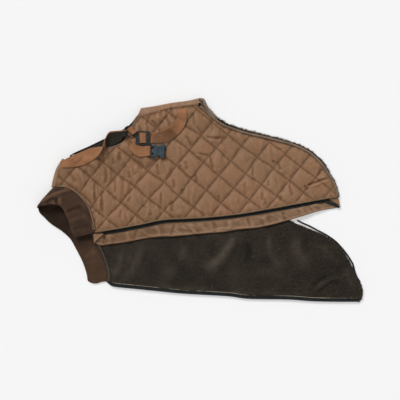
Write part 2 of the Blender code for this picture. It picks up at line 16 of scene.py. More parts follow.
import bmesh
import bpy
import numpy as np
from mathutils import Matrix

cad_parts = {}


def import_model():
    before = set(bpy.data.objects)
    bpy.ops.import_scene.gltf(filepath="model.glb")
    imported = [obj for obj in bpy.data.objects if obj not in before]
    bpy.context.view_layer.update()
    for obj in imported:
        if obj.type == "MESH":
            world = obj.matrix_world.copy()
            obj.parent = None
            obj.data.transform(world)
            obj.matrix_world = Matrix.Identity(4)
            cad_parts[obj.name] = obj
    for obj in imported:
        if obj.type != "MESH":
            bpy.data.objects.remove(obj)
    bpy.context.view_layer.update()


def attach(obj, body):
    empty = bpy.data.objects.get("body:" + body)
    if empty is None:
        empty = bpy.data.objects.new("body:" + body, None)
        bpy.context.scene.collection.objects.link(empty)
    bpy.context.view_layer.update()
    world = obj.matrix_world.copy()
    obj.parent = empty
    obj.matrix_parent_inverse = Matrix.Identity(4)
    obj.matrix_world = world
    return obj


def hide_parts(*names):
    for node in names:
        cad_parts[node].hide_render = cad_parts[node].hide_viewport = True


LOG = logging.getLogger("dog_winter_coat")
MM = 0.001
Array = np.ndarray
Points = Sequence[Sequence[float]]

# ---------------------------------------------------------------- cloth thicknesses, mm
SHELL = 1.8
PLUSH = 3.0
GAP = 0.4
ELASTIC_R = 1.8
TAPE_WALL = 0.7
TOOTH_SIZE, TOOTH_PITCH = (1.25, 2.2, 1.3), 1.9
TUFT_RADIUS, LINING_TUFT_RADIUS = 0.34, 0.42
FAR_TOP_Z = SHELL + GAP + PLUSH
NEAR_REST_Z = FAR_TOP_Z + GAP
NEAR_BUILD = PLUSH + GAP + SHELL
TABLE_CLEARANCE = 0.2
SAG_START, SAG_LENGTH = 12.0, 55.0      # where the near half sinks to the surface past the far
FOLD_LOFT, LOFT_REACH = 5.0, 70.0       # how high the folded edges stand, and how far in

# ---------------------------------------------------------------- small quantities
TINY = 1e-9                             # keeps a division off nought
NOISE_SIDE = 128                        # values along each side of the noise's lattice
NOISE_SHIFT = 1000.0                    # keeps the lattice's cell numbers positive
CURVE_STEPS = 16                        # points between two of a curve's own
WELD = 1e-6                             # vertices closer than this are one, m

# ---------------------------------------------------------------- edges, mm, columns x, y
SPINE_NEAR = [(-213, -67), (-165, -59.5), (-120, -51), (-75, -42), (-30, -39.5), (20, -36.5),
              (80, -30), (140, -20), (200, -9), (250, 0), (280, 5)]
NECK_NEAR = [(-213, -67), (-217, -50), (-221, -32), (-228, -14), (-238, 1), (-250, 13),
             (-264, 22.5), (-279, 26.5), (-293, 26)]
CHEST_SEAM_NEAR = [(-293, 26), (-290, 43), (-284, 62), (-273, 81)]
ARMHOLE_NEAR = [(-273, 81), (-250, 88), (-222, 96), (-195, 102), (-172, 108), (-154, 118),
                (-143, 138), (-134, 155), (-128, 167)]
BELLY_SEAM_NEAR = [(-128, 167), (-108, 170), (-85, 178), (-58, 184.5), (-28, 189), (-4, 191)]
RUMP_NEAR = [(-4, 191), (10, 180), (25, 166), (45, 152), (70, 142), (100, 133), (140, 124),
             (185, 112), (210, 102), (230, 89), (248, 71), (262, 50)]
TAIL_NEAR = [(280, 5), (277, 20), (271, 36), (262, 50)]
CHEST_FOLD = [(-304, 22), (-300, 42), (-293, 64), (-281, 84)]
BELLY_FOLD = [(-120, 187), (-95, 190.5), (-58, 197.5), (-25, 202), (1, 208)]
SPINE_FAR = [(-189, -171), (-176, -178), (-140, -182), (-90, -187), (-40, -192), (10, -195),
             (60, -198), (100, -203), (180, -204.5), (230, -208), (280, -209), (324, -209)]
TAIL_FAR = [(324, -209), (330, -200), (331, -186), (326, -168), (317, -155)]
RUMP_FAR = [(317, -155), (311, -139), (298, -115), (280, -92), (260, -77), (230, -63.5),
            (197, -50), (140, -20), (90, 15), (45, 58), (18, 100)]
BELLY_SEAM_FAR = [(18, 100), (-40, 103), (-100, 116), (-149, 146)]
ARMHOLE_FAR = [(-149, 146), (-172, 133), (-200, 119.5), (-228, 106), (-255, 94), (-268, 86)]
CHEST_SEAM_FAR = [(-268, 86), (-279, 66), (-285, 46), (-288, 26)]
NECK_FAR = [(-288, 26), (-272, 2), (-254, -26), (-232, -61), (-211, -95), (-199, -120),
            (-191, -147), (-189, -171)]
COLLAR_MOUTH_NEAR = [(-254, -76), (-258, -69), (-263, -55), (-268, -39), (-274, -24),
                     (-283, -12.5), (-297, -8.5), (-312, -8.5), (-322.5, -10)]
COLLAR_MOUTH_FAR = [(-322.5, -14), (-321, -27), (-305, -45), (-281, -62), (-264, -78),
                    (-252, -98), (-242, -117), (-235, -138), (-228.5, -166)]
GUARD_FOLD = [(-217, -88), (-202, -93.5), (-180, -91), (-150, -87), (-120, -81), (-100, -78),
              (-75, -76), (-50, -75), (0, -70), (50, -66), (80, -61), (120, -57), (160, -48),
              (205, -35), (245, -23), (285, -16)]


# ---------------------------------------------------------------- curves in the plane
def length_along(run: Array) -> Array:
    """The length travelled at each point of a run, from 0."""
    return np.concatenate([[0], np.cumsum(np.linalg.norm(np.diff(run, axis=0), axis=1))])


def smooth_run(points: Points, count: int) -> Array:
    """Samples a smooth curve through points, evenly by length.

    Args:
        points: the curve's own points, of any dimension.
        count: how many equal steps to take.

    Returns:
        count + 1 points.
    """
    ends = np.asarray([tuple(p) for p in points], float)
    guide = np.vstack([2 * ends[0] - ends[1], ends, 2 * ends[-1] - ends[-2]])
    t = np.linspace(0, 1, CURVE_STEPS, endpoint=False)[:, None]
    dense = []
    for p0, p1, p2, p3 in zip(guide, guide[1:], guide[2:], guide[3:]):
        dense.append(0.5 * (2 * p1 + (p2 - p0) * t + (2 * p0 - 5 * p1 + 4 * p2 - p3) * t ** 2
                            + (3 * p1 - p0 - 3 * p2 + p3) * t ** 3))
    line = np.vstack([*dense, ends[-1:]])
    travelled = length_along(line)
    wanted = np.linspace(0, travelled[-1], count + 1)
    return np.stack([np.interp(wanted, travelled, line[:, k]) for k in range(line.shape[1])], 1)


def joined(*runs: Array) -> Array:
    """One run from runs that meet end to start."""
    return np.vstack([runs[0], *(run[1:] for run in runs[1:])])


def unit(vectors: Array) -> Array:
    """Vectors, in the last axis, scaled to a length of 1."""
    return vectors / np.maximum(np.linalg.norm(vectors, axis=-1, keepdims=True), TINY)


def normals_of(run: Array) -> Array:
    """Unit normals to the left of a plan run's direction of travel."""
    ahead = np.gradient(run[:, :2], axis=0)
    left = np.stack([-ahead[:, 1], ahead[:, 0]], 1)
    return unit(left)


def moved_left(run: Array, distance: float | Array) -> Array:
    """A plan run moved to the left of its direction of travel."""
    return run + normals_of(run) * np.reshape(distance, (-1, 1))


def nearest(xy: Array, run: Array) -> tuple[Array, Array, Array]:
    """How far points lie from a run.

    Args:
        xy: points, with x and y in the last axis.
        run: the run's points.

    Returns:
        The distance, the signed side (positive to the left) and the length along the run.
    """
    flat = xy.reshape(-1, 2)
    best = np.full(len(flat), np.inf)
    side = np.zeros(len(flat))
    along = np.zeros(len(flat))
    start = 0.0
    for a, b in zip(run[:, :2], run[1:, :2]):
        step = b - a
        length = float(np.hypot(*step))
        share = np.clip(((flat - a) @ step) / max(length ** 2, TINY), 0, 1)
        off = flat - a - share[:, None] * step
        distance = np.hypot(off[:, 0], off[:, 1])
        closer = distance < best
        best = np.where(closer, distance, best)
        side = np.where(closer, step[0] * off[:, 1] - step[1] * off[:, 0], side)
        along = np.where(closer, start + share * length, along)
        start += length
    shape = xy.shape[:-1]
    return best.reshape(shape), np.sign(side).reshape(shape), along.reshape(shape)


def eased(share: Array | float) -> Array:
    """A share from 0 to 1 with a level start and end."""
    share = np.clip(share, 0, 1)
    return share * share * (3 - 2 * share)


def patch(bottom: Array, top: Array, left: Array, right: Array) -> Array:
    """Fills four plan edges: bottom and top run in +X, left and right run up.

    Returns:
        An array of rows of points.
    """
    u = np.linspace(0, 1, len(bottom))[None, :, None]
    v = np.linspace(0, 1, len(left))[:, None, None]
    ruled = bottom[None] * (1 - v) + top[None] * v + left[:, None] * (1 - u) + right[:, None] * u
    corners = ((bottom[0] * (1 - u) + bottom[-1] * u) * (1 - v)
               + (top[0] * (1 - u) + top[-1] * u) * v)
    return ruled - corners


def soft_noise(x: Array, y: Array, size: float, seed: int) -> Array:
    """Smooth noise from -1 to 1.

    Args:
        x: first coordinate, mm.
        y: second coordinate, mm.
        size: distance between its lumps, mm.
        seed: which noise.
    """
    lattice = np.random.default_rng(seed).uniform(-1, 1, (NOISE_SIDE, NOISE_SIDE))
    fx, fy = x / size + NOISE_SHIFT, y / size + NOISE_SHIFT
    ix, iy = np.floor(fx).astype(int), np.floor(fy).astype(int)
    sx, sy = eased(fx - ix), eased(fy - iy)
    low, high = (lattice[row % NOISE_SIDE, ix % NOISE_SIDE] * (1 - sx)
                 + lattice[row % NOISE_SIDE, (ix + 1) % NOISE_SIDE] * sx for row in (iy, iy + 1))
    return low * (1 - sy) + high * sy


def noise_at(xy: Array, size: float, seed: int) -> Array:
    """Smooth noise at points with x and y in the last axis."""
    return soft_noise(xy[..., 0], xy[..., 1], size, seed)


# ---------------------------------------------------------------- how the coat lies
FAR_RIGHT_EDGE = joined(smooth_run(TAIL_FAR, 12), smooth_run(RUMP_FAR, 60),
                        np.array([RUMP_FAR[-1], (1, 208)], float))
FOLD_LINE = joined(smooth_run(CHEST_FOLD, 8), smooth_run(ARMHOLE_NEAR, 20),
                   smooth_run(BELLY_FOLD, 12))


def rest_height(xy: Array) -> Array:
    """Height of the near half's underside, on the far half or down on the surface, mm."""
    loft = FOLD_LOFT * (1 - eased(nearest(xy, FOLD_LINE)[0] / LOFT_REACH))
    order = np.argsort(FAR_RIGHT_EDGE[:, 1])
    edge_x = np.interp(xy[..., 1], FAR_RIGHT_EDGE[order, 1], FAR_RIGHT_EDGE[order, 0])
    share = eased((nearest(xy, FAR_RIGHT_EDGE)[0] - SAG_START) / SAG_LENGTH)
    share = np.where(xy[..., 0] > edge_x, share, 0)
    return (NEAR_REST_Z + loft) * (1 - share) + TABLE_CLEARANCE * share


@dataclass(frozen=True)
class Crease:
    """One fold: a soft ridge, or a trough where its height is negative, mm."""

    x1: float
    y1: float
    x2: float
    y2: float
    width: float
    height: float
    bow: float = 0.0

    def lift(self, xy: Array) -> Array:
        """How far this fold lifts the cloth at each point."""
        a, b = np.array([self.x1, self.y1]), np.array([self.x2, self.y2])
        step = b - a
        length = float(np.hypot(*step))
        along = ((xy - a) @ step) / length ** 2
        across = ((xy - a) @ np.array([-step[1], step[0]])) / length
        across = across - self.bow * 4 * np.clip(along, 0, 1) * (1 - np.clip(along, 0, 1))
        past = np.maximum(0, np.maximum(-along, along - 1)) * length
        ends = eased(np.minimum(along, 1 - along) * length / (0.35 * length) + 0.35)
        wide = self.width * (0.75 + 0.5 * np.clip(along, 0, 1))
        return self.height * ends * np.exp(-(across / wide) ** 2 - (past / wide) ** 2)


def folds(xy: Array, table: Points) -> Array:
    """The lift of all the creases in a table with a Crease's columns."""
    total = np.zeros(xy.shape[:-1])
    for row in table:
        total += Crease(*row).lift(xy)
    return total


# ---------------------------------------------------------------- mesh helpers
def deselect() -> None:
    """Leaves nothing selected."""
    bpy.ops.object.select_all(action="DESELECT")


def choose(obj: bpy.types.Object) -> bpy.types.Object:
    """Makes one object the only one selected, and active."""
    deselect()
    obj.select_set(True)
    bpy.context.view_layer.objects.active = obj
    return obj


def apply_modifiers(obj: bpy.types.Object) -> bpy.types.Object:
    """Applies every modifier in order."""
    choose(obj)
    for name in [m.name for m in obj.modifiers]:
        bpy.ops.object.modifier_apply(modifier=name)
    return obj


def settle(obj: bpy.types.Object) -> bpy.types.Object:
    """Puts an object's place into its mesh, so that it sits at the origin."""
    choose(obj)
    bpy.ops.object.transform_apply(location=True, rotation=True, scale=True)
    return obj


def paint_uv(mesh: bpy.types.Mesh, name: str, values: Array) -> None:
    """Writes one UV map from a pair of values for each vertex."""
    layer = mesh.uv_layers.get(name) or mesh.uv_layers.new(name=name)
    corners = np.empty(len(mesh.loops), np.int32)
    mesh.loops.foreach_get("vertex_index", corners)
    layer.data.foreach_set("uv", values.reshape(-1, 2)[corners].astype(np.float32).reshape(-1))


def bevelled(obj: bpy.types.Object, name: str, width: float, segments: int,
             angle: float | None = None, group: str = "") -> None:
    """Adds a bevel modifier.

    Args:
        obj: the object.
        name: the modifier's name.
        width: how wide, m.
        segments: faces across the bevel.
        angle: the least angle between faces that it rounds, degrees.
        group: the vertex group that it rounds, where it's not by angle.
    """
    bevel = obj.modifiers.new(name, "BEVEL")
    bevel.width, bevel.segments = width, segments
    if angle:
        bevel.limit_method, bevel.angle_limit = "ANGLE", math.radians(angle)
    if group:
        bevel.limit_method, bevel.vertex_group = "VGROUP", group


def grid_object(name: str, points: Array) -> bpy.types.Object:
    """A grid with its vertices at rows of points, mm, and no UV map."""
    rows, columns = points.shape[:2]
    deselect()
    bpy.ops.mesh.primitive_grid_add(x_subdivisions=columns - 1, y_subdivisions=rows - 1, size=1)
    obj = bpy.context.object
    obj.name = obj.data.name = name
    obj.data.vertices.foreach_set("co", (points * MM).astype(np.float32).reshape(-1))
    while obj.data.uv_layers:
        obj.data.uv_layers.remove(obj.data.uv_layers[0])
    return obj


def faces_object(name: str, points: Array, faces: list[list[int]]) -> bpy.types.Object:
    """An object from its points, mm, and its faces."""
    mesh = bpy.data.meshes.new(name)
    mesh.from_pydata((points * MM).tolist(), [], faces)
    mesh.update()
    obj = bpy.data.objects.new(name, mesh)
    bpy.context.scene.collection.objects.link(obj)
    return obj


def sheet_mesh(name: str, points: Array, uv: dict[str, Array], thickness: float,
               offset: float = -1.0) -> bpy.types.Object:
    """Models a sheet of cloth from a grid of points.

    Args:
        name: the piece's name.
        points: rows of points, mm, on the face that the thickness is measured from.
        uv: each UV map's pairs of values, one pair for each point.
        thickness: the wall, mm.
        offset: -1 puts the wall under the face, 0 on both sides.

    Returns:
        The piece, with its wall applied and shaded smooth.
    """
    obj = grid_object(name, points)
    for label, values in uv.items():
        paint_uv(obj.data, label, values)
    row, column = points.shape[0] // 6, points.shape[1] // 2
    corner = points[row, column]
    facing = np.cross(points[row, column + 1] - corner, points[row + 1, column] - corner)
    if offset < 0 and facing[2] < 0:
        obj.data.flip_normals()
    obj.data.update()
    wall = obj.modifiers.new("wall", "SOLIDIFY")
    wall.thickness, wall.offset = thickness * MM, offset
    apply_modifiers(obj)
    bpy.ops.object.shade_smooth_by_angle(angle=math.radians(60))
    return obj


def tube(name: str, points: Array, radius: float, sides: int = 10) -> bpy.types.Object:
    """Models a round cord through points, mm, with a UV map along it in metres."""
    ahead = np.gradient(points, axis=0)
    ahead /= np.linalg.norm(ahead, axis=1, keepdims=True)
    side = unit(np.cross(ahead, [0, 0, 1.0]))
    up = np.cross(side, ahead)
    turn = np.linspace(0, math.tau, sides + 1)
    ring = (side[:, None] * np.cos(turn)[None, :, None] + up[:, None] * np.sin(turn)[None, :, None])
    along = length_along(points)
    uv = np.stack(np.broadcast_arrays(along[:, None] * MM, turn[None] * radius * MM), -1)
    obj = grid_object(name, points[:, None] + ring * radius)
    paint_uv(obj.data, "along", uv)
    obj.data.update()
    choose(obj)
    bpy.ops.object.mode_set(mode="EDIT")
    bpy.ops.mesh.select_all(action="SELECT")
    bpy.ops.mesh.remove_doubles(threshold=WELD / 10)
    bpy.ops.mesh.select_all(action="DESELECT")
    bpy.ops.mesh.select_non_manifold()
    bpy.ops.mesh.edge_face_add()
    bpy.ops.mesh.select_all(action="SELECT")
    bpy.ops.mesh.normals_make_consistent(inside=False)
    bpy.ops.object.mode_set(mode="OBJECT")
    bpy.ops.object.shade_smooth_by_angle(angle=math.radians(50))
    return obj


# ---------------------------------------------------------------- node helpers
Socket = bpy.types.NodeSocket
Value = float | Socket


class Tree:
    """A node tree with short calls for the nodes that the finishes use."""

    def __init__(self, tree: bpy.types.NodeTree) -> None:
        """Takes the node tree to add to."""
        self.tree = tree

    def node(self, kind: str, **settings: object) -> bpy.types.Node:
        """A new node with its settings."""
        made = self.tree.nodes.new(kind)
        for label, value in settings.items():
            setattr(made, label, value)
        return made

    def feed(self, socket: Socket, value: object) -> None:
        """Links a socket to an input, or sets the input's own value."""
        if isinstance(value, bpy.types.NodeSocket):
            self.tree.links.new(value, socket)
        else:
            socket.default_value = value

    def math(self, operation: str, a: Value, b: Value = 0.0) -> Socket:
        """A Math node's result."""
        made = self.node("ShaderNodeMath", operation=operation)
        self.feed(made.inputs[0], a)
        self.feed(made.inputs[1], b)
        return made.outputs[0]

    def weigh(self, *parts: tuple[Value, float]) -> Socket:
        """The sum of values, each times its weight."""
        total = None
        for value, weight in parts:
            part = self.math("MULTIPLY", value, weight)
            total = part if total is None else self.math("ADD", total, part)
        return total

    def span(self, value: Value, low: float, high: float,
             to: tuple[float, float] = (0, 1)) -> Socket:
        """Maps low..high to another span, with eased ends."""
        made = self.node("ShaderNodeMapRange", interpolation_type="SMOOTHSTEP")
        for socket, given in zip(made.inputs, (value, low, high, *to)):
            self.feed(socket, given)
        return made.outputs[0]

    def mix(self, share: Value, a: object, b: object) -> Socket:
        """Mixes two colours, each a socket, RGBA values or a six-digit screen colour."""
        made = self.node("ShaderNodeMix", data_type="RGBA")
        self.feed(made.inputs[0], share)
        for socket, colour in ((made.inputs[6], a), (made.inputs[7], b)):
            self.feed(socket, (*shade(colour), 1) if isinstance(colour, str) else colour)
        return made.outputs[2]

    def tint(self, colour: object, share: Value, most: float, towards: object) -> Socket:
        """Mixes a colour towards another, by a share of what's most."""
        return self.mix(self.math("MULTIPLY", share, most), colour, towards)

    def noise(self, vector: Socket, scale: Value, detail: float = 3, rough: float = 0.5) -> Socket:
        """A noise value from 0 to 1; scale is lumps a metre."""
        made = self.node("ShaderNodeTexNoise")
        self.feed(made.inputs["Vector"], vector)
        self.feed(made.inputs["Scale"], scale)
        made.inputs["Detail"].default_value = detail
        made.inputs["Roughness"].default_value = rough
        return made.outputs["Fac"]

    def place(self) -> Socket:
        """Object coordinates, in metres."""
        return self.node("ShaderNodeTexCoord").outputs["Object"]

    def split(self, vector: Socket) -> tuple[Socket, Socket]:
        """A vector's first two values."""
        made = self.node("ShaderNodeSeparateXYZ")
        self.feed(made.inputs[0], vector)
        return made.outputs[0], made.outputs[1]

    def uv(self, name: str) -> tuple[Socket, Socket]:
        """A UV map's two values."""
        return self.split(self.node("ShaderNodeUVMap", uv_map=name).outputs[0])

    def wave(self, value: Value, pitch: Value) -> Socket:
        """A cosine from 0 to 1 that repeats every pitch metres, 1 on its lines."""
        turn = self.math("MULTIPLY", self.math("DIVIDE", value, pitch), math.tau)
        return self.math("ADD", self.math("MULTIPLY", self.math("COSINE", turn), 0.5), 0.5)

    def off_line(self, value: Value, pitch: float) -> Socket:
        """Distance in metres to the nearest line of a family pitch metres apart."""
        return self.math("PINGPONG", value, pitch / 2)

    def group(self, group: bpy.types.NodeTree, **given: object) -> bpy.types.Node:
        """Places a node group with its inputs."""
        made = self.node("ShaderNodeGroup", node_tree=group)
        for label, value in given.items():
            self.feed(made.inputs[label], value)
        return made

    def mottle(self, vector: Socket, broad: float, fine: float) -> Socket:
        """Uneven dye: broad and fine are its two sizes' lumps a metre."""
        return self.group(mottle_group(), Vector=vector, Broad=broad, Fine=fine).outputs[0]

    def bump(self, height: Socket, depth: float, strength: float,
             under: Socket | None = None) -> Socket:
        """A bump of that depth in metres, over another one where given."""
        made = self.node("ShaderNodeBump")
        made.inputs["Strength"].default_value = strength
        made.inputs["Distance"].default_value = depth
        self.feed(made.inputs["Height"], height)
        if under is not None:
            self.feed(made.inputs["Normal"], under)
        return made.outputs[0]


def new_group(name: str, inputs: dict[str, float | None], outputs: Sequence[str],
              build: Callable[..., Sequence[Socket]]) -> bpy.types.NodeTree:
    """Makes a shader node group once.

    Args:
        name: the group's name.
        inputs: each input's name and default; None makes a vector.
        outputs: each output's name.
        build: from the group's tree and input sockets, makes what its outputs give.

    Returns:
        The group.
    """
    known = bpy.data.node_groups.get(name)
    if known:
        return known
    tree = bpy.data.node_groups.new(name, "ShaderNodeTree")
    for label, default in inputs.items():
        kind = "NodeSocketVector" if default is None else "NodeSocketFloat"
        made = tree.interface.new_socket(label, in_out="INPUT", socket_type=kind)
        if default is not None:
            made.default_value = default
    for label in outputs:
        tree.interface.new_socket(label, in_out="OUTPUT", socket_type="NodeSocketFloat")
    given, result = tree.nodes.new("NodeGroupInput"), tree.nodes.new("NodeGroupOutput")
    for socket, value in zip(result.inputs, build(Tree(tree), *given.outputs[:len(inputs)])):
        tree.links.new(value, socket)
    return tree


def mottle_group() -> bpy.types.NodeTree:
    """Uneven dye and handling marks: two sizes of soft noise in one mask."""
    def build(tree: Tree, vector: Socket, broad: Socket, fine: Socket) -> Sequence[Socket]:
        large = tree.span(tree.noise(vector, broad, 2), 0.3, 0.7)
        small = tree.span(tree.noise(vector, fine, 4, 0.65), 0.3, 0.7)
        return [tree.weigh((large, 0.6), (small, 0.4))]
    return new_group("uneven_dye", {"Vector": None, "Broad": 22.0, "Fine": 260.0}, ["Mask"], build)


def weave_group() -> bpy.types.NodeTree:
    """A plain weave: over-and-under threads at a pitch, as a height and a mask."""
    def build(tree: Tree, vector: Socket, pitch: Socket) -> Sequence[Socket]:
        warp, weft = (tree.wave(value, pitch) for value in tree.split(vector))
        crossed = tree.math("ABSOLUTE", tree.math("SUBTRACT", warp, weft))
        fuzz = tree.noise(vector, 1800.0, 2)
        return [tree.math("ADD", crossed, tree.math("MULTIPLY", fuzz, 0.5)), crossed]
    return new_group("plain_weave", {"Vector": None, "Pitch": 0.0008}, ["Height", "Mask"], build)


def stitch_group() -> bpy.types.NodeTree:
    """A line of stitches: the groove beside a line, and the threads that lie in it."""
    def build(tree: Tree, off: Socket, along: Socket, length: Socket) -> Sequence[Socket]:
        groove = tree.span(off, 0.0003, 0.0022, (1, 0))
        line = tree.span(off, 0.0003, 0.0007, (1, 0))
        dash = tree.span(tree.wave(along, length), 0.12, 0.3)
        return [groove, tree.math("MULTIPLY", line, dash)]
    return new_group("stitch_line", {"Off": 0.0, "Along": 0.0, "Length": 0.0034},
                     ["Groove", "Thread"], build)


# ---------------------------------------------------------------- finishes
QUILT_PITCHES = 40.0, 39.4              # between the lines of each family of stitches, mm
WEAVE_GLINT = (0.5, 0.36, 0.25, 1)      # what the crossed threads lean to


def shade(hex_colour: str) -> tuple[float, float, float]:
    """A linear colour from its usual six-digit screen form."""
    parts = [int(hex_colour[i:i + 2], 16) / 255 for i in (0, 2, 4)]
    return tuple(c / 12.92 if c <= 0.04045 else ((c + 0.055) / 1.055) ** 2.4 for c in parts)


@dataclass(frozen=True)
class Finish:
    """What every finish has: a name, its roughness and its fixed gloss and nap."""

    name: str
    roughness: float = 0.6
    sheen: float = 0.0
    sheen_roughness: float = 0.4
    specular: float = 0.3
    metallic: float = 0.0

    def material(self) -> bpy.types.Material:
        """The finish's material, made once."""
        known = bpy.data.materials.get(self.name)
        if known:
            return known
        made = bpy.data.materials.new(self.name)
        made.use_nodes = True
        shader = made.node_tree.nodes["Principled BSDF"]
        for label, value in {"Roughness": self.roughness, "Sheen Weight": self.sheen,
                             "Sheen Roughness": self.sheen_roughness,
                             "Specular IOR Level": self.specular,
                             "Metallic": self.metallic}.items():
            shader.inputs[label].default_value = value
        self.dress(Tree(made.node_tree), shader)
        return made

    def dress(self, tree: Tree, shader: bpy.types.Node) -> None:
        """Adds the finish's own colour, roughness and relief."""
        raise NotImplementedError


@dataclass(frozen=True)
class QuiltedCloth(Finish):
    """Satin woven outer cloth, with or without its diamond quilting."""

    base: str = "7E5B40"
    warm: str = "895F43"
    olive: str = "73583A"
    thread: str = "4B3423"
    # hollow is a painted shade colour for hollows, crest a painted highlight colour for crests
    hollow: str = "55361D"
    crest_highlight: str = "A98468"
    quilted: bool = True
    paints_shade_and_highlight: bool = False      # its mesh has a "relief" UV map: shares of painted shade in hollows and painted highlight on crests

    def dress(self, tree: Tree, shader: bpy.types.Node) -> None:
        """Dye, weave and rows of stitches."""
        place = tree.place()
        dye = tree.mottle(place, 14.0, 320.0)
        colour = tree.mix(0.45, tree.mix(dye, self.olive, self.warm), self.base)
        weave = tree.group(weave_group(), Vector=place, Pitch=0.0009)
        colour = tree.tint(colour, weave.outputs[1], 0.16, WEAVE_GLINT)
        height = tree.math("MULTIPLY", weave.outputs[0], 0.12)
        if self.quilted:
            a, b = tree.uv("quilt")
            for off, along, pitch in zip((a, b), (b, a), QUILT_PITCHES):
                groove, thread = tree.group(stitch_group(), Off=tree.off_line(off, pitch * MM),
                                            Along=along, Length=0.0036).outputs
                # painted shade in the groove beside each stitched line; the next line tints the thread
                # itself
                colour = tree.tint(colour, groove, 0.30, self.thread)
                colour = tree.tint(colour, thread, 0.55, self.thread)
                height = tree.math("SUBTRACT", height, tree.math("MULTIPLY", groove, 0.5))
                height = tree.math("ADD", height, tree.math("MULTIPLY", thread, 0.35))
        if self.paints_shade_and_highlight:
            # painted shade in the hollows and painted highlight on the crests
            low, high = tree.uv("relief")
            colour = tree.tint(colour, low, 0.5, self.hollow)
            colour = tree.tint(colour, high, 0.2, self.crest_highlight)
        tree.feed(shader.inputs["Base Color"], colour)
        tree.feed(shader.inputs["Roughness"],
                  tree.math("ADD", tree.math("MULTIPLY", dye, 0.12), self.roughness - 0.06))
        tree.feed(shader.inputs["Normal"], tree.bump(height, 0.0009, 0.7))


@dataclass(frozen=True)
class Plush(Finish):
    """Short dense pile; its brushed look is painted highlight and painted shade, where brushed is set.
    """

    root: str = "1B1712"
    tip: str = "3A332B"
    lit: str = "574E44"
    shadow: str = "14110D"
    grain: float = 700.0
    brushed: bool = False     # its mesh has a "nap" UV map: its shares of painted highlight and painted shade

    def dress(self, tree: Tree, shader: bpy.types.Node) -> None:
        """Pile that is darker between its tufts."""
        place = tree.place()
        swirl = tree.mottle(place, 16.0, 120.0)
        pile = tree.noise(place, self.grain, 3, 0.6)
        mask = tree.weigh((swirl, 0.45), (tree.span(pile, 0.32, 0.68), 0.55))
        colour = tree.mix(mask, self.root, self.tip)
        if self.brushed:
            # painted light: a painted highlight and a painted shade, by the nap map's shares
            lie, dark = tree.uv("nap")
            colour = tree.mix(dark, tree.mix(lie, colour, self.lit), self.shadow)
        tree.feed(shader.inputs["Base Color"], colour)
        under = tree.bump(tree.noise(place, 180.0, 2), 0.0016, 0.5)
        tree.feed(shader.inputs["Normal"], tree.bump(pile, 0.0012, 0.8, under))


@dataclass(frozen=True)
class RibKnit(Finish):
    """Rib knit with its wales across the band; its UV map runs along the band and across it."""

    ridge: str = "463225"
    # valley is painted shade for the grooves between the wales
    groove_shade: str = "241A11"
    crest_highlight: str = "775642"
    # deep is painted shade for creases and the mouth, crest a painted highlight for crests
    cavity_shade: str = "1A130D"
    pitch: float = 0.0031

    def dress(self, tree: Tree, shader: bpy.types.Node) -> None:
        """Wales, the small loops in them and uneven yarn."""
        along, across = tree.uv("rib")
        place = tree.place()
        wales = tree.wave(along, self.pitch)
        wale_share = tree.math("FRACT", tree.math("DIVIDE", along, self.pitch))
        slant = tree.math("ABSOLUTE", tree.math("SUBTRACT", wale_share, 0.5))
        loops = tree.wave(tree.math("ADD", across, tree.math("MULTIPLY", slant, 0.0016)), 0.0019)
        yarn = tree.mottle(place, 35.0, 900.0)
        mask = tree.weigh((tree.span(wales, 0.1, 0.75), 0.62), (tree.math("ADD", loops, yarn), 0.19))
        # painted shade in the grooves between the wales, with the knit loops and uneven yarn in the
        # same mask
        colour = tree.mix(mask, self.groove_shade, self.ridge)
        # painted shade in creases and inside the mouth, and painted highlight on crests
        low, high = tree.uv("relief")
        colour = tree.tint(colour, low, 0.6, self.cavity_shade)
        colour = tree.tint(colour, high, 0.4, self.crest_highlight)
        tree.feed(shader.inputs["Base Color"], colour)
        under = tree.bump(wales, 0.0007, 0.6)
        tree.feed(shader.inputs["Normal"], tree.bump(
            tree.math("ADD", loops, tree.noise(place, 2200.0, 2)), 0.0004, 0.6, under))


@dataclass(frozen=True)
class Webbing(Finish):
    """Flat woven webbing; its UV map runs across it and along it."""

    light: str = "AC7A54"
    dark: str = "764C31"
    # back is a dark colour painted over stretches of the strap as shade
    back: str = "221C13"
    rib: float = 0.0017

    def dress(self, tree: Tree, shader: bpy.types.Node) -> None:
        """A herringbone of thick threads, fuzzed and rubbed."""
        across, along = tree.uv("strap")
        zig = tree.math("MULTIPLY", tree.off_line(across, 0.0068), 0.9)
        ribs = tree.wave(tree.math("ADD", along, zig), self.rib)
        cords = tree.wave(across, self.rib)
        wear = tree.mottle(tree.place(), 45.0, 700.0)
        mask = tree.weigh((ribs, 0.4), (cords, 0.15), (wear, 0.45))
        # painted shade: the turn map darkens stretches of the strap towards back, sparing one edge
        share, turned = tree.uv("turn")
        inner = tree.math("LESS_THAN", tree.math("ABSOLUTE", tree.math("SUBTRACT", share, 0.45)), 0.46)
        colour = tree.mix(tree.math("MULTIPLY", inner, turned),
                          tree.mix(mask, self.dark, self.light), self.back)
        tree.feed(shader.inputs["Base Color"], colour)
        tree.feed(shader.inputs["Normal"], tree.bump(
            tree.math("ADD", ribs, tree.math("MULTIPLY", cords, 0.6)), 0.0004, 0.8))


@dataclass(frozen=True)
class CordCloth(Finish):
    """Cloth or braid round a cord; its UV map runs along it and round it."""

    light: str = "8E6F57"
    dark: str = "5A4030"
    turn: float = 0.0016

    def dress(self, tree: Tree, shader: bpy.types.Node) -> None:
        """Slanting threads and a little dirt."""
        slant = tree.wave(tree.math("ADD", *tree.uv("along")), self.turn)
        mask = tree.weigh((slant, 0.4), (tree.mottle(tree.place(), 60.0, 800.0), 0.6))
        tree.feed(shader.inputs["Base Color"], tree.mix(mask, self.dark, self.light))
        tree.feed(shader.inputs["Normal"], tree.bump(slant, 0.0003, 0.7))


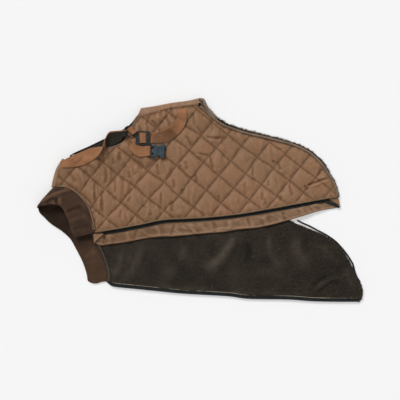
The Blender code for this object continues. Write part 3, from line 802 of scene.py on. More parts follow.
@dataclass(frozen=True)
class TapeCloth(Finish):
    """Close black zip tape with a faint herringbone."""

    light: str = "2A2E2D"
    dark: str = "101313"

    def dress(self, tree: Tree, shader: bpy.types.Node) -> None:
        """Fine weave and dust."""
        place = tree.place()
        weave = tree.group(weave_group(), Vector=place, Pitch=0.0006)
        mask = tree.weigh((weave.outputs[1], 0.4), (tree.mottle(place, 50.0, 500.0), 0.6))
        tree.feed(shader.inputs["Base Color"], tree.mix(mask, self.dark, self.light))
        tree.feed(shader.inputs["Normal"], tree.bump(weave.outputs[0], 0.0003, 0.6))


@dataclass(frozen=True)
class Hard(Finish):
    """Moulded plastic or coated metal with light handling marks."""

    base: str = "34434A"
    worn: str = "5C6C72"

    def dress(self, tree: Tree, shader: bpy.types.Node) -> None:
        """Mould texture, and scuffs that are lighter and duller."""
        place = tree.place()
        scuff = tree.span(tree.mottle(place, 90.0, 1500.0), 0.55, 0.95)
        tree.feed(shader.inputs["Base Color"], tree.tint(self.base, scuff, 0.5, self.worn))
        tree.feed(shader.inputs["Roughness"],
                  tree.math("ADD", tree.math("MULTIPLY", scuff, 0.2), self.roughness))
        tree.feed(shader.inputs["Normal"],
                  tree.bump(tree.noise(place, 3500.0, 2), 0.00012, 0.35))


class Slot(Enum):
    """The record's material slots."""

    QUILTED = "quilted_cloth"
    PLUSH = "plush"
    KNIT = "rib_knit"
    WEBBING = "webbing"
    PIPING = "piping_cloth"
    ZIP = "zip_black"
    PLASTIC = "black_plastic"
    METAL = "dark_metal"
    ELASTIC = "elastic"


OUTER = QuiltedCloth("outer_cloth_quilted", roughness=0.5, sheen=0.05, specular=0.18, paints_shade_and_highlight=True)
OUTER_FAR = replace(OUTER, name="outer_cloth_far_half", paints_shade_and_highlight=False)
OUTER_PLAIN = replace(OUTER_FAR, name="outer_cloth_plain", quilted=False)
OUTER_FLAP = replace(OUTER, name="outer_cloth_flap", quilted=False, base="775941", warm="806048",
                     olive="68533A")
BELLY_CLOTH = replace(OUTER_FLAP, name="belly_cloth", roughness=0.48, specular=0.25,
                      base="805E44", warm="8A6247", olive="74583F")
PILE = Plush("lining_plush", roughness=0.95, sheen=0.08, sheen_roughness=0.6, specular=0.05)
LIGHT_PAINTED_PILE = replace(PILE, name="lining_plush_painted_light", brushed=True)
PILE_TIPS = replace(PILE, name="lining_plush_tips", root="2A241E", tip="4B4238", grain=300.0)
RIM_PILE = replace(PILE_TIPS, name="rump_rim_pile", root="3B2E24", tip="6C5A4A")
KNIT = RibKnit("collar_rib_knit", roughness=0.9, sheen=0.08, sheen_roughness=0.6, specular=0.08)
TAN_WEBBING = Webbing("tan_webbing", roughness=0.6, sheen=0.05, specular=0.2)
PIPING = CordCloth("corded_piping", roughness=0.6, sheen=0.05, light="8A6E52", dark="5A4430")
RIM_PIPING = CordCloth("rump_piping", roughness=0.7, sheen=0.05, light="8A745F", dark="55453A")
OPENING_HEM = CordCloth("opening_hem", roughness=0.7, sheen=0.05, light="8F715C", dark="54402F")
ROLLED_HEM = CordCloth("rolled_hem", roughness=0.85, light="9A8878", dark="5E5044")
SEAM_COVER = CordCloth("seam_cover", roughness=0.8, light="5B554B", dark="312C26")
HEM_LINE = CordCloth("hem_line", roughness=0.7, light="A39A8C", dark="6D655B")
ELASTIC = CordCloth("covered_elastic", roughness=0.7, light="25272A", dark="0B0C0E",
                    turn=0.0022, specular=0.2)
ZIP_TAPE = TapeCloth("zip_tape", roughness=0.75, specular=0.2)
ZIP_TEETH = Hard("zip_teeth", roughness=0.4, base="1A1D1E", worn="3B4042", specular=0.5)
MOULDED = Hard("moulded_buckle", roughness=0.38, base="2B3A42", worn="4E606A", specular=0.4)
GLIDE = Hard("moulded_glide", roughness=0.4, base="1B1B1C", worn="3A3E44", specular=0.4)
COATED_WIRE = Hard("coated_wire", roughness=0.35, base="25262A", worn="5A5C62", metallic=0.6)


def finish_piece(obj: bpy.types.Object, look: Finish,
                 replaces: Sequence[str] = ()) -> bpy.types.Object:
    """Gives a piece its material and body, and hides the frame's nodes that it stands for."""
    obj.data.materials.clear()
    obj.data.materials.append(look.material())
    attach(obj, "root")
    if replaces:
        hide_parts(*replaces)
    LOG.info("%s: %d faces", obj.name, len(obj.data.polygons))
    return obj


def cloth(name: str, xy: Array, lift: Array, wall: float, look: Finish, slot: Slot,
          replaces: Sequence[str] = (), **uv: Array) -> bpy.types.Object:
    """Models and finishes a sheet from its plan points, heights and wall, mm, and its UV maps."""
    obj = sheet_mesh(name, np.dstack([xy, lift]), uv, wall)
    return finish_piece(obj, look, replaces)


def cord(name: str, line: Array, lift: Array | float, radius: float, look: Finish,
         replaces: Sequence[str] = (),
         sides: int = 10) -> bpy.types.Object:
    """Models and finishes a cord along a plan line at its heights, mm."""
    points = np.column_stack([line, np.broadcast_to(lift, len(line))])
    return finish_piece(tube(name, points, radius, sides), look, replaces)


# ---------------------------------------------------------------- the near half
@dataclass
class NearHalf:
    """The upper layer: quilted outer cloth over plush, with piping, zip half and under-flap."""

    columns: int = 8          # faces across for each section of the frame's grid
    puff: float = 3.8         # how high the wadding stands between the stitched lines, mm
    wrinkling: float = 1.45
    shell_wall: float = 1.3
    lining_wall: float = PLUSH - 0.5
    thinnest: float = 1.2     # the least lift of the outer cloth over its build, mm
    flap_wall: float = 1.2
    garage_wall: float = 0.9
    piping_radius: float = 1.6
    rim_radius: float = 2.5
    rim_tufts: int = 6400
    stitch_turns: tuple[float, float] = (38.0, 51.0)   # the two families' slants, degrees
    guard_folds: Points = (
        # x1, y1, x2, y2, width, height, bow
        (-196, -70, -194, -93, 3.0, -1.3, 0),
        (-188, -72, -182, -92, 4.0, 1.0, 1),
        (-150, -64, -143, -88, 4.5, 0.9, 0),
        (-128, -60, -134, -84, 3.0, -0.9, 0),
        (-90, -50, -82, -78, 5.0, 1.0, 1),
        (-52, -48, -58, -76, 3.5, -0.8, 0),
        (-20, -44, -8, -71, 5.0, 0.9, 0),
        (26, -42, 34, -68, 4.0, -0.8, 1),
        (62, -38, 60, -63, 4.5, 1.1, 0),
        (96, -34, 104, -60, 3.0, -0.9, 0),
        (132, -30, 136, -54, 4.0, 0.9, -1),
        (168, -24, 176, -45, 3.5, -0.8, 0),
        (206, -16, 212, -34, 4.0, 0.8, 0),
        (-100, -74, -20, -70, 4.0, 0.9, 0),
        (20, -62, 100, -57, 3.5, 0.8, 1),
    )
    shell_folds: Points = (
        (-214, 36, -214, -2, 2.4, -1.8, 0), (-210, 34, -205, 10, 2.2, -1.2, 0),
        (-218, 20, -217, -12, 2.6, 1.4, 0), (-191, 66, -190, 32, 3.6, -1.5, 0),
        (-200, 16, -198, -28, 2.6, -2.0, 0), (-206, 6, -205, -24, 3.0, 1.4, 0),
        (-173, 38, -173, 12, 2.6, -1.5, 0), (-163, 98, -163, 78, 3.0, -1.9, 0),
        (-176, 84, -177, 70, 2.2, -1.2, 0), (-181, 94, -191, 84, 2.2, 1.2, 0),
        (-170, 94, -172, 76, 3.0, 1.3, 0), (-144, 58, -143, 42, 2.6, -1.2, 0),
        (-131, 68, -129, 56, 2.6, 1.5, 0), (-87, 74, -84, 48, 3.0, -1.7, 0),
        (-136, 82, -114, 63, 4.5, -1.8, 1), (-112, 62, -97, 73, 3.6, -1.5, -1),
        (-104, 88, -92, 78, 4.0, -1.6, 0), (-54, 42, -52, 22, 2.6, -1.8, 0),
        (-41, 72, -40, 60, 2.2, -1.3, 0), (-31, 79, -26, 60, 2.6, -1.5, 0),
        (-79, 16, -79, -12, 2.2, -1.6, 0), (-55, -4, -57, -26, 2.6, -1.5, 0),
        (-36, 22, -37, 8, 2.2, -1.4, 0), (-9, 52, -7, 34, 2.6, -1.8, 0),
        (-28, 56, -17, 46, 2.2, 1.6, 0), (-7, 95, 18, 90, 2.6, -1.8, -1),
        (-7, 91, 4, 88, 2.2, 1.7, 0), (21, 88, 26, 61, 2.6, -1.8, 0),
        (-146, 9, -154, -8, 2.0, 1.3, 0), (-141, 7, -146, -6, 2.0, -1.2, 0),
        (-108, -19, -108, -36, 2.2, 1.1, 0), (-100, -17, -100, -34, 2.2, -1.1, 0),
        (-211, -40, -209, -59, 2.2, 1.2, 0), (-160, -20, -163, -38, 2.4, -1.1, 0),
        (12, 128, 48, 126, 2.8, -1.8, -2), (147, 80, 160, 72, 2.6, -1.9, -1),
        (160, 74, 166, 60, 2.6, -1.9, -1), (139, 40, 139, 26, 2.2, -1.2, 0),
        (91, 34, 91, 10, 2.2, -1.2, 0), (108, 66, 108, 48, 2.2, -1.0, 0),
        (127, 16, 127, -3, 2.6, -1.5, 0), (132, 4, 134, -12, 2.6, -1.3, 0),
        (181, 32, 189, 8, 2.8, -1.6, 0), (172, 30, 170, 14, 2.2, -1.0, 0),
        (162, 8, 168, -2, 2.6, -1.4, 0), (213, 29, 220, 19, 2.6, -1.8, 0),
        (218, 29, 262, 44, 2.0, -2.3, 0), (220, 24, 258, 38, 2.6, 1.2, 0),
        (37, 9, 40, -6, 2.2, -1.8, 0), (240, 48, 249, 63, 2.2, -1.2, 0),
        (-100, 162, -84, 144, 3.0, -1.5, 1), (-72, 170, -60, 148, 3.0, -1.5, 2),
        (-90, 170, -76, 160, 2.6, 1.2, 0), (-14, 176, -10, 150, 3.0, -1.4, -1),
        (-8, 150, 6, 132, 2.6, -1.4, 0), (8, 168, 24, 146, 3.0, 1.2, 0),
        (-28, 130, -16, 108, 3.0, -1.5, 0), (-44, 112, -24, 100, 2.6, 1.1, 0),
        (-110, 150, -104, 168, 2.4, -1.2, 0), (-124, 152, -118, 132, 2.6, -1.2, 0),
        (-268, 56, -252, 34, 4.0, -1.2, 0), (-252, 62, -232, 30, 5.0, 1.3, 2),
        (-236, 58, -222, 44, 3.0, -1.2, 0), (-232, 80, -206, 62, 4.0, 1.2, 1),
    )
    stitch_drift: Points = (
        # a crossing of the stitched lines, and how far it strayed from even spacing
        (-22, 100, 4.3, 3.7), (7, 75, 2.3, 3.1), (-48, 69, 3.2, 3.7), (-18, 43, 2.5, 1.7),
        (13, 19, 2.1, 1.8), (-73, 35, 3.0, 0.7), (-43, 7, 2.3, -2.7), (-13, -15, 1.0, -1.0),
        (-104, 1, -2.4, -2.1), (-73, -22, -2.3, -1.3), (-134, 27, -1.0, -0.3),
        (-106, 58, 1.4, 0.0), (-168, 51, -4.0, -1.1), (-140, 85, -1.5, 2.6),
        (-193, 21, -4.5, 0.3), (-161, -6, -3.5, -2.4), (-131, -31, -4.1, -3.0),
        (-191, -39, -8.0, -4.0), (-197, 76, -2.7, 0.0), (57, 132, 1.2, -2.3),
        (33, 105, 2.7, 1.4), (85, 109, -1.7, -0.9), (63, 78, 1.4, -1.1), (117, 86, -0.6, 0.4),
        (93, 53, 0.9, -2.1), (38, 49, 2.2, 0.9), (69, 23, 1.7, -0.8), (125, 30, 2.0, 0.0),
        (150, 63, 1.2, 1.8), (182, 39, 2.3, 1.7), (205, 67, 0.0, -1.2), (157, 7, 2.3, 0.6),
        (212, 14, 0.9, 1.4), (101, -1, 2.7, 0.0), (43, -8, 1.0, 0.0), (236, 44, 0.0, 0.0),
    )

    def plan(self, spine_inset: float = 0.0, neck_inset: float = 0.0, rump_out: float = 0.0,
             fine: int | None = None) -> Array:
        """The half's plan points, from the same edges as its solid.

        Args:
            spine_inset: how far its spine edge is moved in, mm.
            neck_inset: how far its neck edge is moved in, mm.
            rump_out: how far its rump and tail edges are moved out, mm.
            fine: faces for each section of the frame's grid.
        """
        n = fine or self.columns
        spine = moved_left(smooth_run(SPINE_NEAR, 35 * n), spine_inset)
        rump = smooth_run(RUMP_NEAR, 16 * n)
        if rump_out:
            rump = moved_left(rump, rump_out + self.rim(rump))
        top = joined(smooth_run(CHEST_SEAM_NEAR, 3 * n), smooth_run(ARMHOLE_NEAR, 9 * n),
                     smooth_run(BELLY_SEAM_NEAR, 7 * n), rump)
        neck = moved_left(smooth_run([spine[0], *NECK_NEAR[2:]], 16 * n), -neck_inset)
        tail = moved_left(smooth_run([spine[-1], *TAIL_NEAR[2:]], 16 * n), -rump_out)
        neck[0], tail[0], neck[-1], tail[-1] = spine[0], spine[-1], top[0], top[-1]
        return patch(spine, top, neck, tail)

    def rim(self, run: Array) -> Array:
        """How much further out than usual the plush stands along the rump, mm."""
        return np.interp(run[:, 0], (0, 8, 30, 105, 150, 205, 250, 264, 290),
                         (5.0, 4.4, 2.2, 1.8, 0.3, 0.8, 1.2, -0.8, -2.2))

    def quilt_places(self, xy: Array) -> tuple[Array, Array]:
        """Distances across the two families of stitched lines, mm, with their drift."""
        total, weights = np.zeros(xy.shape), np.full(xy.shape[:-1], 1e-3)
        for x, y, across, along in self.stitch_drift:
            weight = np.exp(-((xy[..., 0] - x) ** 2 + (xy[..., 1] - y) ** 2) / 15.0 ** 2)
            total += weight[..., None] * (across, along)
            weights += weight
        x, y = np.moveaxis(xy - total / weights[..., None], -1, 0)
        first, second = (math.radians(turn) for turn in self.stitch_turns)
        return (math.sin(first) * x + math.cos(first) * y - 20.0,
                -math.sin(second) * x + math.cos(second) * y - 2.0)

    def quilt_map(self, xy: Array) -> Array:
        """The UV values that the stitched lines are drawn from."""
        return np.stack(self.quilt_places(xy), -1) * MM

    def quilting(self, a: Array, b: Array, edge: Array) -> Array:
        """Height of the wadding over the panel, with the puckers that the stitching pulls in.

        Args:
            a: distance across the first family of lines, mm.
            b: distance across the second, mm.
            edge: distance from the sewn edge, mm.
        """
        off_a, off_b = (np.abs((across / pitch + 0.5) % 1 - 0.5) * pitch
                        for across, pitch in zip((a, b), QUILT_PITCHES))
        pillow = (1 - np.exp(-off_a / 5.5)) * (1 - np.exp(-off_b / 5.5))
        waves = sum(np.sin(along / size + 2.5 * soft_noise(a, b, 22, seed)) * np.exp(-off / 4.5)
                    for along, size, seed, off in ((b, 1.45, 7, off_a), (a, 1.5, 8, off_b)))
        strength = 0.55 + 0.45 * soft_noise(a, b, 30, 9)
        puckers = 0.42 * strength * waves * (1 - np.exp(-np.minimum(off_a, off_b) / 1.2))
        held = 0.25 + 0.75 * eased(edge / 14)
        return (self.puff * pillow + puckers * 1.2) * held

    def crinkle(self, x: Array, y: Array) -> Array:
        """Small sharp wrinkles, mostly running across the body, mm."""
        across = x + 5 * soft_noise(x, y, 28, 121)
        along = 0.3 * y + 3 * soft_noise(x, y, 35, 122)
        fine = soft_noise(across, along, 6.0, 123)
        slant = soft_noise(0.8 * across + 0.5 * y, 0.35 * y - 0.25 * x, 8.0, 124)
        patchy = eased(0.5 + 1.1 * soft_noise(x, y, 36, 125) - 0.0012 * x)
        sharp = 0.75 * fine - 0.55 * np.exp(-(fine / 0.17) ** 2)
        other = 0.5 * slant - 0.5 * np.exp(-(slant / 0.13) ** 2)
        return (0.25 + 0.75 * patchy) * sharp + (0.75 - 0.45 * patchy) * other

    def surface(self, xy: Array) -> Array:
        """Height of the outer cloth's top, mm."""
        runs = [nearest(xy, smooth_run(points, count)) for points, count in (
            (SPINE_NEAR, 40), (RUMP_NEAR, 40), (BELLY_SEAM_NEAR, 20), (NECK_NEAR, 20),
            (ARMHOLE_NEAR, 20), (TAIL_NEAR, 12))]
        edge = np.minimum.reduce([off for off, _, _ in runs])
        gathers = sum(0.55 * np.sin(along / size + 2 * soft_noise(along, off, 25, seed))
                      * np.exp(-off / 8) * eased(off / 2.5)
                      for (off, _, along), size, seed in zip(runs, (2.6, 2.3, 2.0, 2.2, 2.4),
                                                             range(11, 16)))
        drift = 1.1 * noise_at(xy, 55, 21) * eased(edge / 25)
        seated = eased(edge / 5)
        crinkle = self.wrinkling * self.crinkle(xy[..., 0], xy[..., 1]) * (0.35 + 0.65 * seated)
        lift = (1.0 + self.quilting(*self.quilt_places(xy), edge) + gathers + drift + crinkle
                + 1.5 * folds(xy, self.shell_folds) * seated)
        low = self.thinnest
        lift = np.where(lift < low, low + 1.5 * np.tanh((lift - low) / 1.5), lift)
        return rest_height(xy) + NEAR_BUILD + lift

    def shell(self) -> bpy.types.Object:
        """The quilted outer cloth."""
        xy = self.plan()
        height = self.surface(xy)
        # painted shade in the quilting's hollows and painted highlight on its crests
        shade_and_highlight = relief(height, 2)
        # more painted shade along each sewn edge, a little in from it
        for edge, inset, depth in ((RUMP_NEAR, 2.0, 1.3), (TAIL_NEAR, 2.4, 0.9),
                                   (BELLY_SEAM_NEAR, 0.8, 1.1), (NECK_NEAR, 5.6, 0.8)):
            away = nearest(xy, smooth_run(edge, 90))[0]
            shade_and_highlight[..., 0] += depth * np.exp(-((away - inset) / 1.1) ** 2)
        # darker towards the neck end and lighter towards the tail, through the painted shade and
        # highlight shares
        left = eased((-60 - xy[..., 0]) / 150)
        right = eased((xy[..., 0] - 60) / 120)
        shade_and_highlight = np.clip(shade_and_highlight + np.stack([0.14 * left, 0.16 * right], -1), 0, 1)
        obj = cloth("near_outer_cloth", xy, height, self.shell_wall, OUTER, Slot.QUILTED,
                    ["shell_near"], quilt=self.quilt_map(xy), relief=shade_and_highlight)
        return obj

    def lining(self) -> bpy.types.Object:
        """The plush under it, which shows past the rump edge and from below."""
        xy = self.plan(14.0, 4.0, 3.4, fine=4)
        lift = rest_height(xy) + PLUSH - 0.1 + 0.3 * noise_at(xy, 6, 31)
        obj = cloth("near_plush_lining", xy, lift, self.lining_wall, PILE, Slot.PLUSH,
                    ["lining_near"])
        return obj

    def fringe(self) -> bpy.types.Object:
        """The pile that stands out past the rump and tail edges."""
        run = np.vstack([[(-4, 205), (-4.5, 200), (-4, 195)], smooth_run(RUMP_NEAR, 260),
                         smooth_run(TAIL_NEAR[::-1], 44)[1:]])
        run = moved_left(run, 3.6 + self.rim(run))
        return pile_strip("near_rump_pile", run, normals_of(run), self.rim_tufts,
                          lambda xy: rest_height(xy) + 1.8, length=(2.5, 6.2), lean=0.4, seed=41,
                          look=RIM_PILE)

    def corner_roll(self) -> None:
        """The rolled hem at the corner of the belly fold and the rump, and the plush in it."""
        for name, points, steps, table, radius, look, slot in (
                ("rump_corner_roll",
                 [(0.5, 203), (6, 203), (10, 196), (15, 185), (24, 175), (36, 165)], 60,
                 ((0, 12, 36), (4.5, 3.6, 1.2)), 3.1, ROLLED_HEM, Slot.PIPING),
                ("rump_corner_plush",
                 [(-2, 203), (2, 201), (5, 194), (11, 185), (20, 176)], 40,
                 ((-2, 8, 20), (3.2, 2.4, 0.6)), 2.9, RIM_PILE, Slot.PLUSH)):
            line = smooth_run(points, steps)
            cord(name, line, rest_height(line) + np.interp(line[:, 0], *table), radius, look)

    def pipings(self) -> None:
        """Corded piping at the neck, the spine and round the tail and rump, and the two hems."""
        neck = smooth_run(NECK_NEAR, 90)[4:-4]
        rump = joined(smooth_run(TAIL_NEAR, 40), smooth_run(RUMP_NEAR[::-1], 230))[2:-3]
        for name, run, inward, high, radius, look in (
                ("piping_neck", neck, -0.4, 4.2, self.piping_radius, PIPING),
                ("piping_spine", smooth_run(SPINE_NEAR, 330), 1.5, 2.6, self.piping_radius, PIPING),
                ("piping_rump", rump, -1.2, 1.9, self.rim_radius, RIM_PIPING)):
            line = moved_left(run, inward)
            lift = rest_height(line) + NEAR_BUILD + high + 0.25 * noise_at(line, 12, 51)
            cord(f"{name}_cord", line, lift, radius, look, replaces=[name])
        opening = moved_left(smooth_run(ARMHOLE_NEAR, 120), 0.6)[2:-2]
        for name, line, high, radius, look in (
                ("neck_seam_edge", moved_left(neck, 3.4), 2.7, 1.3, PIPING),
                ("leg_opening_hem", opening, 0.2, self.piping_radius, OPENING_HEM)):
            cord(name, line, rest_height(line) + NEAR_BUILD + high, radius, look)

    def zip_tape(self) -> bpy.types.Object:
        """The near zip tape, which stands out past the spine piping."""
        spine = smooth_run(SPINE_NEAR, 300)[9:-9]
        reach = np.interp(spine[:, 0], (-200, -120, -60, 20, 120, 250),
                          (7.2, 7.0, 6.0, 5.0, 6.0, 7.0))
        xy = np.stack([moved_left(spine, 6.0 - share * (6.0 + reach))
                       for share in np.linspace(0, 1, 10)])
        lift = rest_height(xy) + PLUSH - 0.1 + 0.25 * noise_at(xy, 9, 61)
        obj = cloth("near_zip_tape", xy, lift, TAPE_WALL, ZIP_TAPE, Slot.ZIP, ["zip_near"])
        return obj

    def turned_end(self) -> bpy.types.Object:
        """The tape's tail end, turned down beside its triangle of cloth."""
        v = np.linspace(0, 1, 8)[:, None, None]
        u = np.linspace(0, 1, 24)[None, :, None]
        upper = np.array([254.0, 3.0]) * (1 - u) + np.array([287.0, -13.5]) * u
        lower = np.array([250.0, -3.5]) * (1 - u) + np.array([284.0, -17.5]) * u
        xy = upper * (1 - v) + lower * v
        lift = rest_height(xy) + 4.4 + 0.3 * noise_at(xy, 6, 62)
        obj = cloth("near_zip_tape_turned_end", xy, lift, 0.8, ZIP_TAPE, Slot.ZIP)
        return obj

    def guard(self) -> bpy.types.Object:
        """The under-flap behind the zip, folded along its lower edge."""
        outer = smooth_run(GUARD_FOLD, 300)
        inner = moved_left(smooth_run(SPINE_NEAR, 300), 12.5)
        inner[0] = inner[0] + (5, 0)
        share = np.linspace(0, 1, 34)[:, None]
        xy = inner[None] * (1 - share[..., None]) + outer[None] * share[..., None]
        low = rest_height(xy)
        open_part = eased((share - 0.42) / 0.2)
        edge_roll = 1.1 * np.exp(-((share - 0.95) / 0.05) ** 2)
        wrinkles = self.crinkle(1.5 * xy[..., 1] + 0.7 * xy[..., 0], 1.2 * xy[..., 0])
        lift = (low + 1.9 + open_part * (0.8 + 2.2 * folds(xy, self.guard_folds)
                + 0.9 * noise_at(xy, 13, 71) + 1.3 * wrinkles) + edge_roll)
        lift[-1] -= 1.2
        # painted shade in the flap's hollows and painted highlight on its wrinkles, with more painted
        # shade towards its neck end
        shade_and_highlight = relief(2.0 * (lift - low), 2)
        shade_and_highlight[..., 0] = np.clip(shade_and_highlight[..., 0] + 0.85 * eased((-10 - xy[..., 0]) / 120), 0, 1)
        obj = cloth("under_flap", xy, lift, self.flap_wall, OUTER_FLAP, Slot.QUILTED,
                    ["zip_guard"], quilt=self.quilt_map(xy), relief=shade_and_highlight)
        return obj

    def garages(self) -> None:
        """The small triangles of outer cloth over the ends of the zip."""
        ends = {"zip_garage_neck": [(-217.5, -69.5), (-216, -87), (-196, -69)],
                "zip_garage_tail": [(282.5, 6), (286.5, -12.5), (263, 2.5)]}
        for name, (corner, low, tip) in ends.items():
            corner, low, tip = (np.array(p, float) for p in (corner, low, tip))
            v = np.linspace(0, 1, 14)[:, None, None]
            u = np.linspace(0, 1, 20)[None, :, None]
            start = corner * (1 - v) + low * v
            xy = start * (1 - u * 0.96) + tip * u * 0.96
            roll = 0.9 * np.exp(-((v[..., 0] - 0.98) / 0.12) ** 2)
            lift = rest_height(xy) + 5.0 + roll + 0.3 * noise_at(xy, 5, 73)
            obj = cloth(f"{name}_cloth", xy, lift, self.garage_wall, OUTER_PLAIN, Slot.QUILTED,
                        [name])

    def build(self) -> None:
        """Builds the near half from the surface up."""
        self.lining()
        self.corner_roll()
        self.fringe()
        self.guard()
        self.zip_tape()
        self.turned_end()
        zip_teeth("near_zip_teeth", moved_left(smooth_run(SPINE_NEAR, 330), -5.0)[10:-12],
                  lambda xy: rest_height(xy) + PLUSH + 0.1)
        self.garages()
        self.shell()
        self.pipings()


def relief(height: Array, reach: int) -> Array:
    """How far each point of a grid of heights, mm, lies below and above what's round it.

    Args:
        height: the heights, by row and column.
        reach: how many faces away the surroundings go.

    Returns:
        The two shares, from 0 to 1, in the last axis.
    """
    soft = height
    span = 2 * reach + 1
    for axis in (0, 1) * 3:
        wide = np.concatenate([np.take(soft, [0] * reach, axis), soft,
                               np.take(soft, [-1] * reach, axis)], axis)
        start = np.zeros_like(np.take(wide, [0], axis))
        total = np.cumsum(np.concatenate([start, wide], axis), axis)
        cells = np.arange(soft.shape[axis])
        soft = (np.take(total, cells + span, axis) - np.take(total, cells, axis)) / span
    return np.clip(np.stack([soft - height, height - soft], -1) / 1.1, 0, 1)


def pile_strip(name: str, run: Array, outward: Array, count: int,
               height: Callable[[Array], Array], length: tuple[float, float], lean: float,
               seed: int, look: Finish = PILE_TIPS) -> bpy.types.Object:
    """Models the tufts that stand out along an edge.

    Args:
        name: the piece's name.
        run: plan points along the edge, mm.
        outward: the direction that the pile points in, at each of them.
        count: how many tufts.
        height: gives the tufts' roots' height from their plan points.
        length: shortest and longest tuft, mm.
        lean: how far they spread to either side.
        seed: which scatter.

    Returns:
        The piece.
    """
    rng = np.random.default_rng(seed)
    pick = rng.uniform(0, len(run) - 1.001, count)
    i, f = pick.astype(int), (pick % 1)[:, None]
    root = run[i] * (1 - f) + run[i + 1] * f
    out = outward[i] * (1 - f) + outward[i + 1] * f
    root = root + out * rng.uniform(-2.2, 0.6, (count, 1))
    z = height(root) + rng.uniform(-0.9, 1.1, count)
    side = np.stack([-out[:, 1], out[:, 0]], 1)
    clump = noise_at(root, 4, seed + 1)[:, None]
    aim = out + side * (clump * 1.6 * lean + rng.normal(0, lean, (count, 1)))
    aim = unit(aim)
    reach = rng.uniform(*length, (count, 1)) * (1 + 0.35 * clump)
    tip = np.column_stack([root + aim * reach,
                           np.maximum(z + rng.normal(-0.3, 0.7, count), 0.25)])
    return tufts(name, np.column_stack([root, z]), tip, TUFT_RADIUS, look)


def tufts(name: str, roots: Array, tips: Array, radius: float, look: Finish) -> bpy.types.Object:
    """Joins closed three-sided tufts, from roots to tips in mm, into one piece."""
    axis = unit(tips - roots)
    side = unit(np.cross(axis, [0.3, 0.2, 1.0]))
    up = np.cross(axis, side)
    corners = [roots + radius * (side * math.cos(t) + up * math.sin(t))
               for t in (0, math.tau / 3, 2 * math.tau / 3)]
    points = np.stack([*corners, tips], 1).reshape(-1, 3)
    first = np.arange(len(roots))[:, None] * 4
    faces = np.concatenate([first + face for face in ([0, 1, 3], [1, 2, 3], [2, 0, 3], [2, 1, 0])])
    return finish_piece(faces_object(name, points, faces.tolist()), look)


def zip_teeth(name: str, run: Array, height: Callable[[Array], Array]) -> bpy.types.Object:
    """Models a row of moulded zip teeth: one bevelled tooth, repeated along a plan run."""
    deselect()
    bpy.ops.mesh.primitive_cube_add(size=1)
    tooth = bpy.context.object
    bevelled(tooth, "edges", 0.22, 1)
    apply_modifiers(tooth)
    shape = np.array([v.co[:] for v in tooth.data.vertices])
    faces = [list(p.vertices) for p in tooth.data.polygons]
    bpy.data.objects.remove(tooth)
    length = length_along(run)
    stops = np.arange(0, length[-1], TOOTH_PITCH)
    places = np.stack([np.interp(stops, length, run[:, k]) for k in (0, 1)], 1)
    length, width, tall = TOOTH_SIZE
    points, joined_faces = [], []
    for k, (p, n, h) in enumerate(zip(places, normals_of(places), height(places))):
        ahead = np.array([n[1], -n[0]])
        flat = p + shape[:, :1] * length * ahead + shape[:, 1:2] * width * n
        points.append(np.column_stack([flat, h + shape[:, 2] * tall]))
        joined_faces += [[i + k * len(shape) for i in f] for f in faces]
    return finish_piece(faces_object(name, np.vstack(points), joined_faces), ZIP_TEETH)


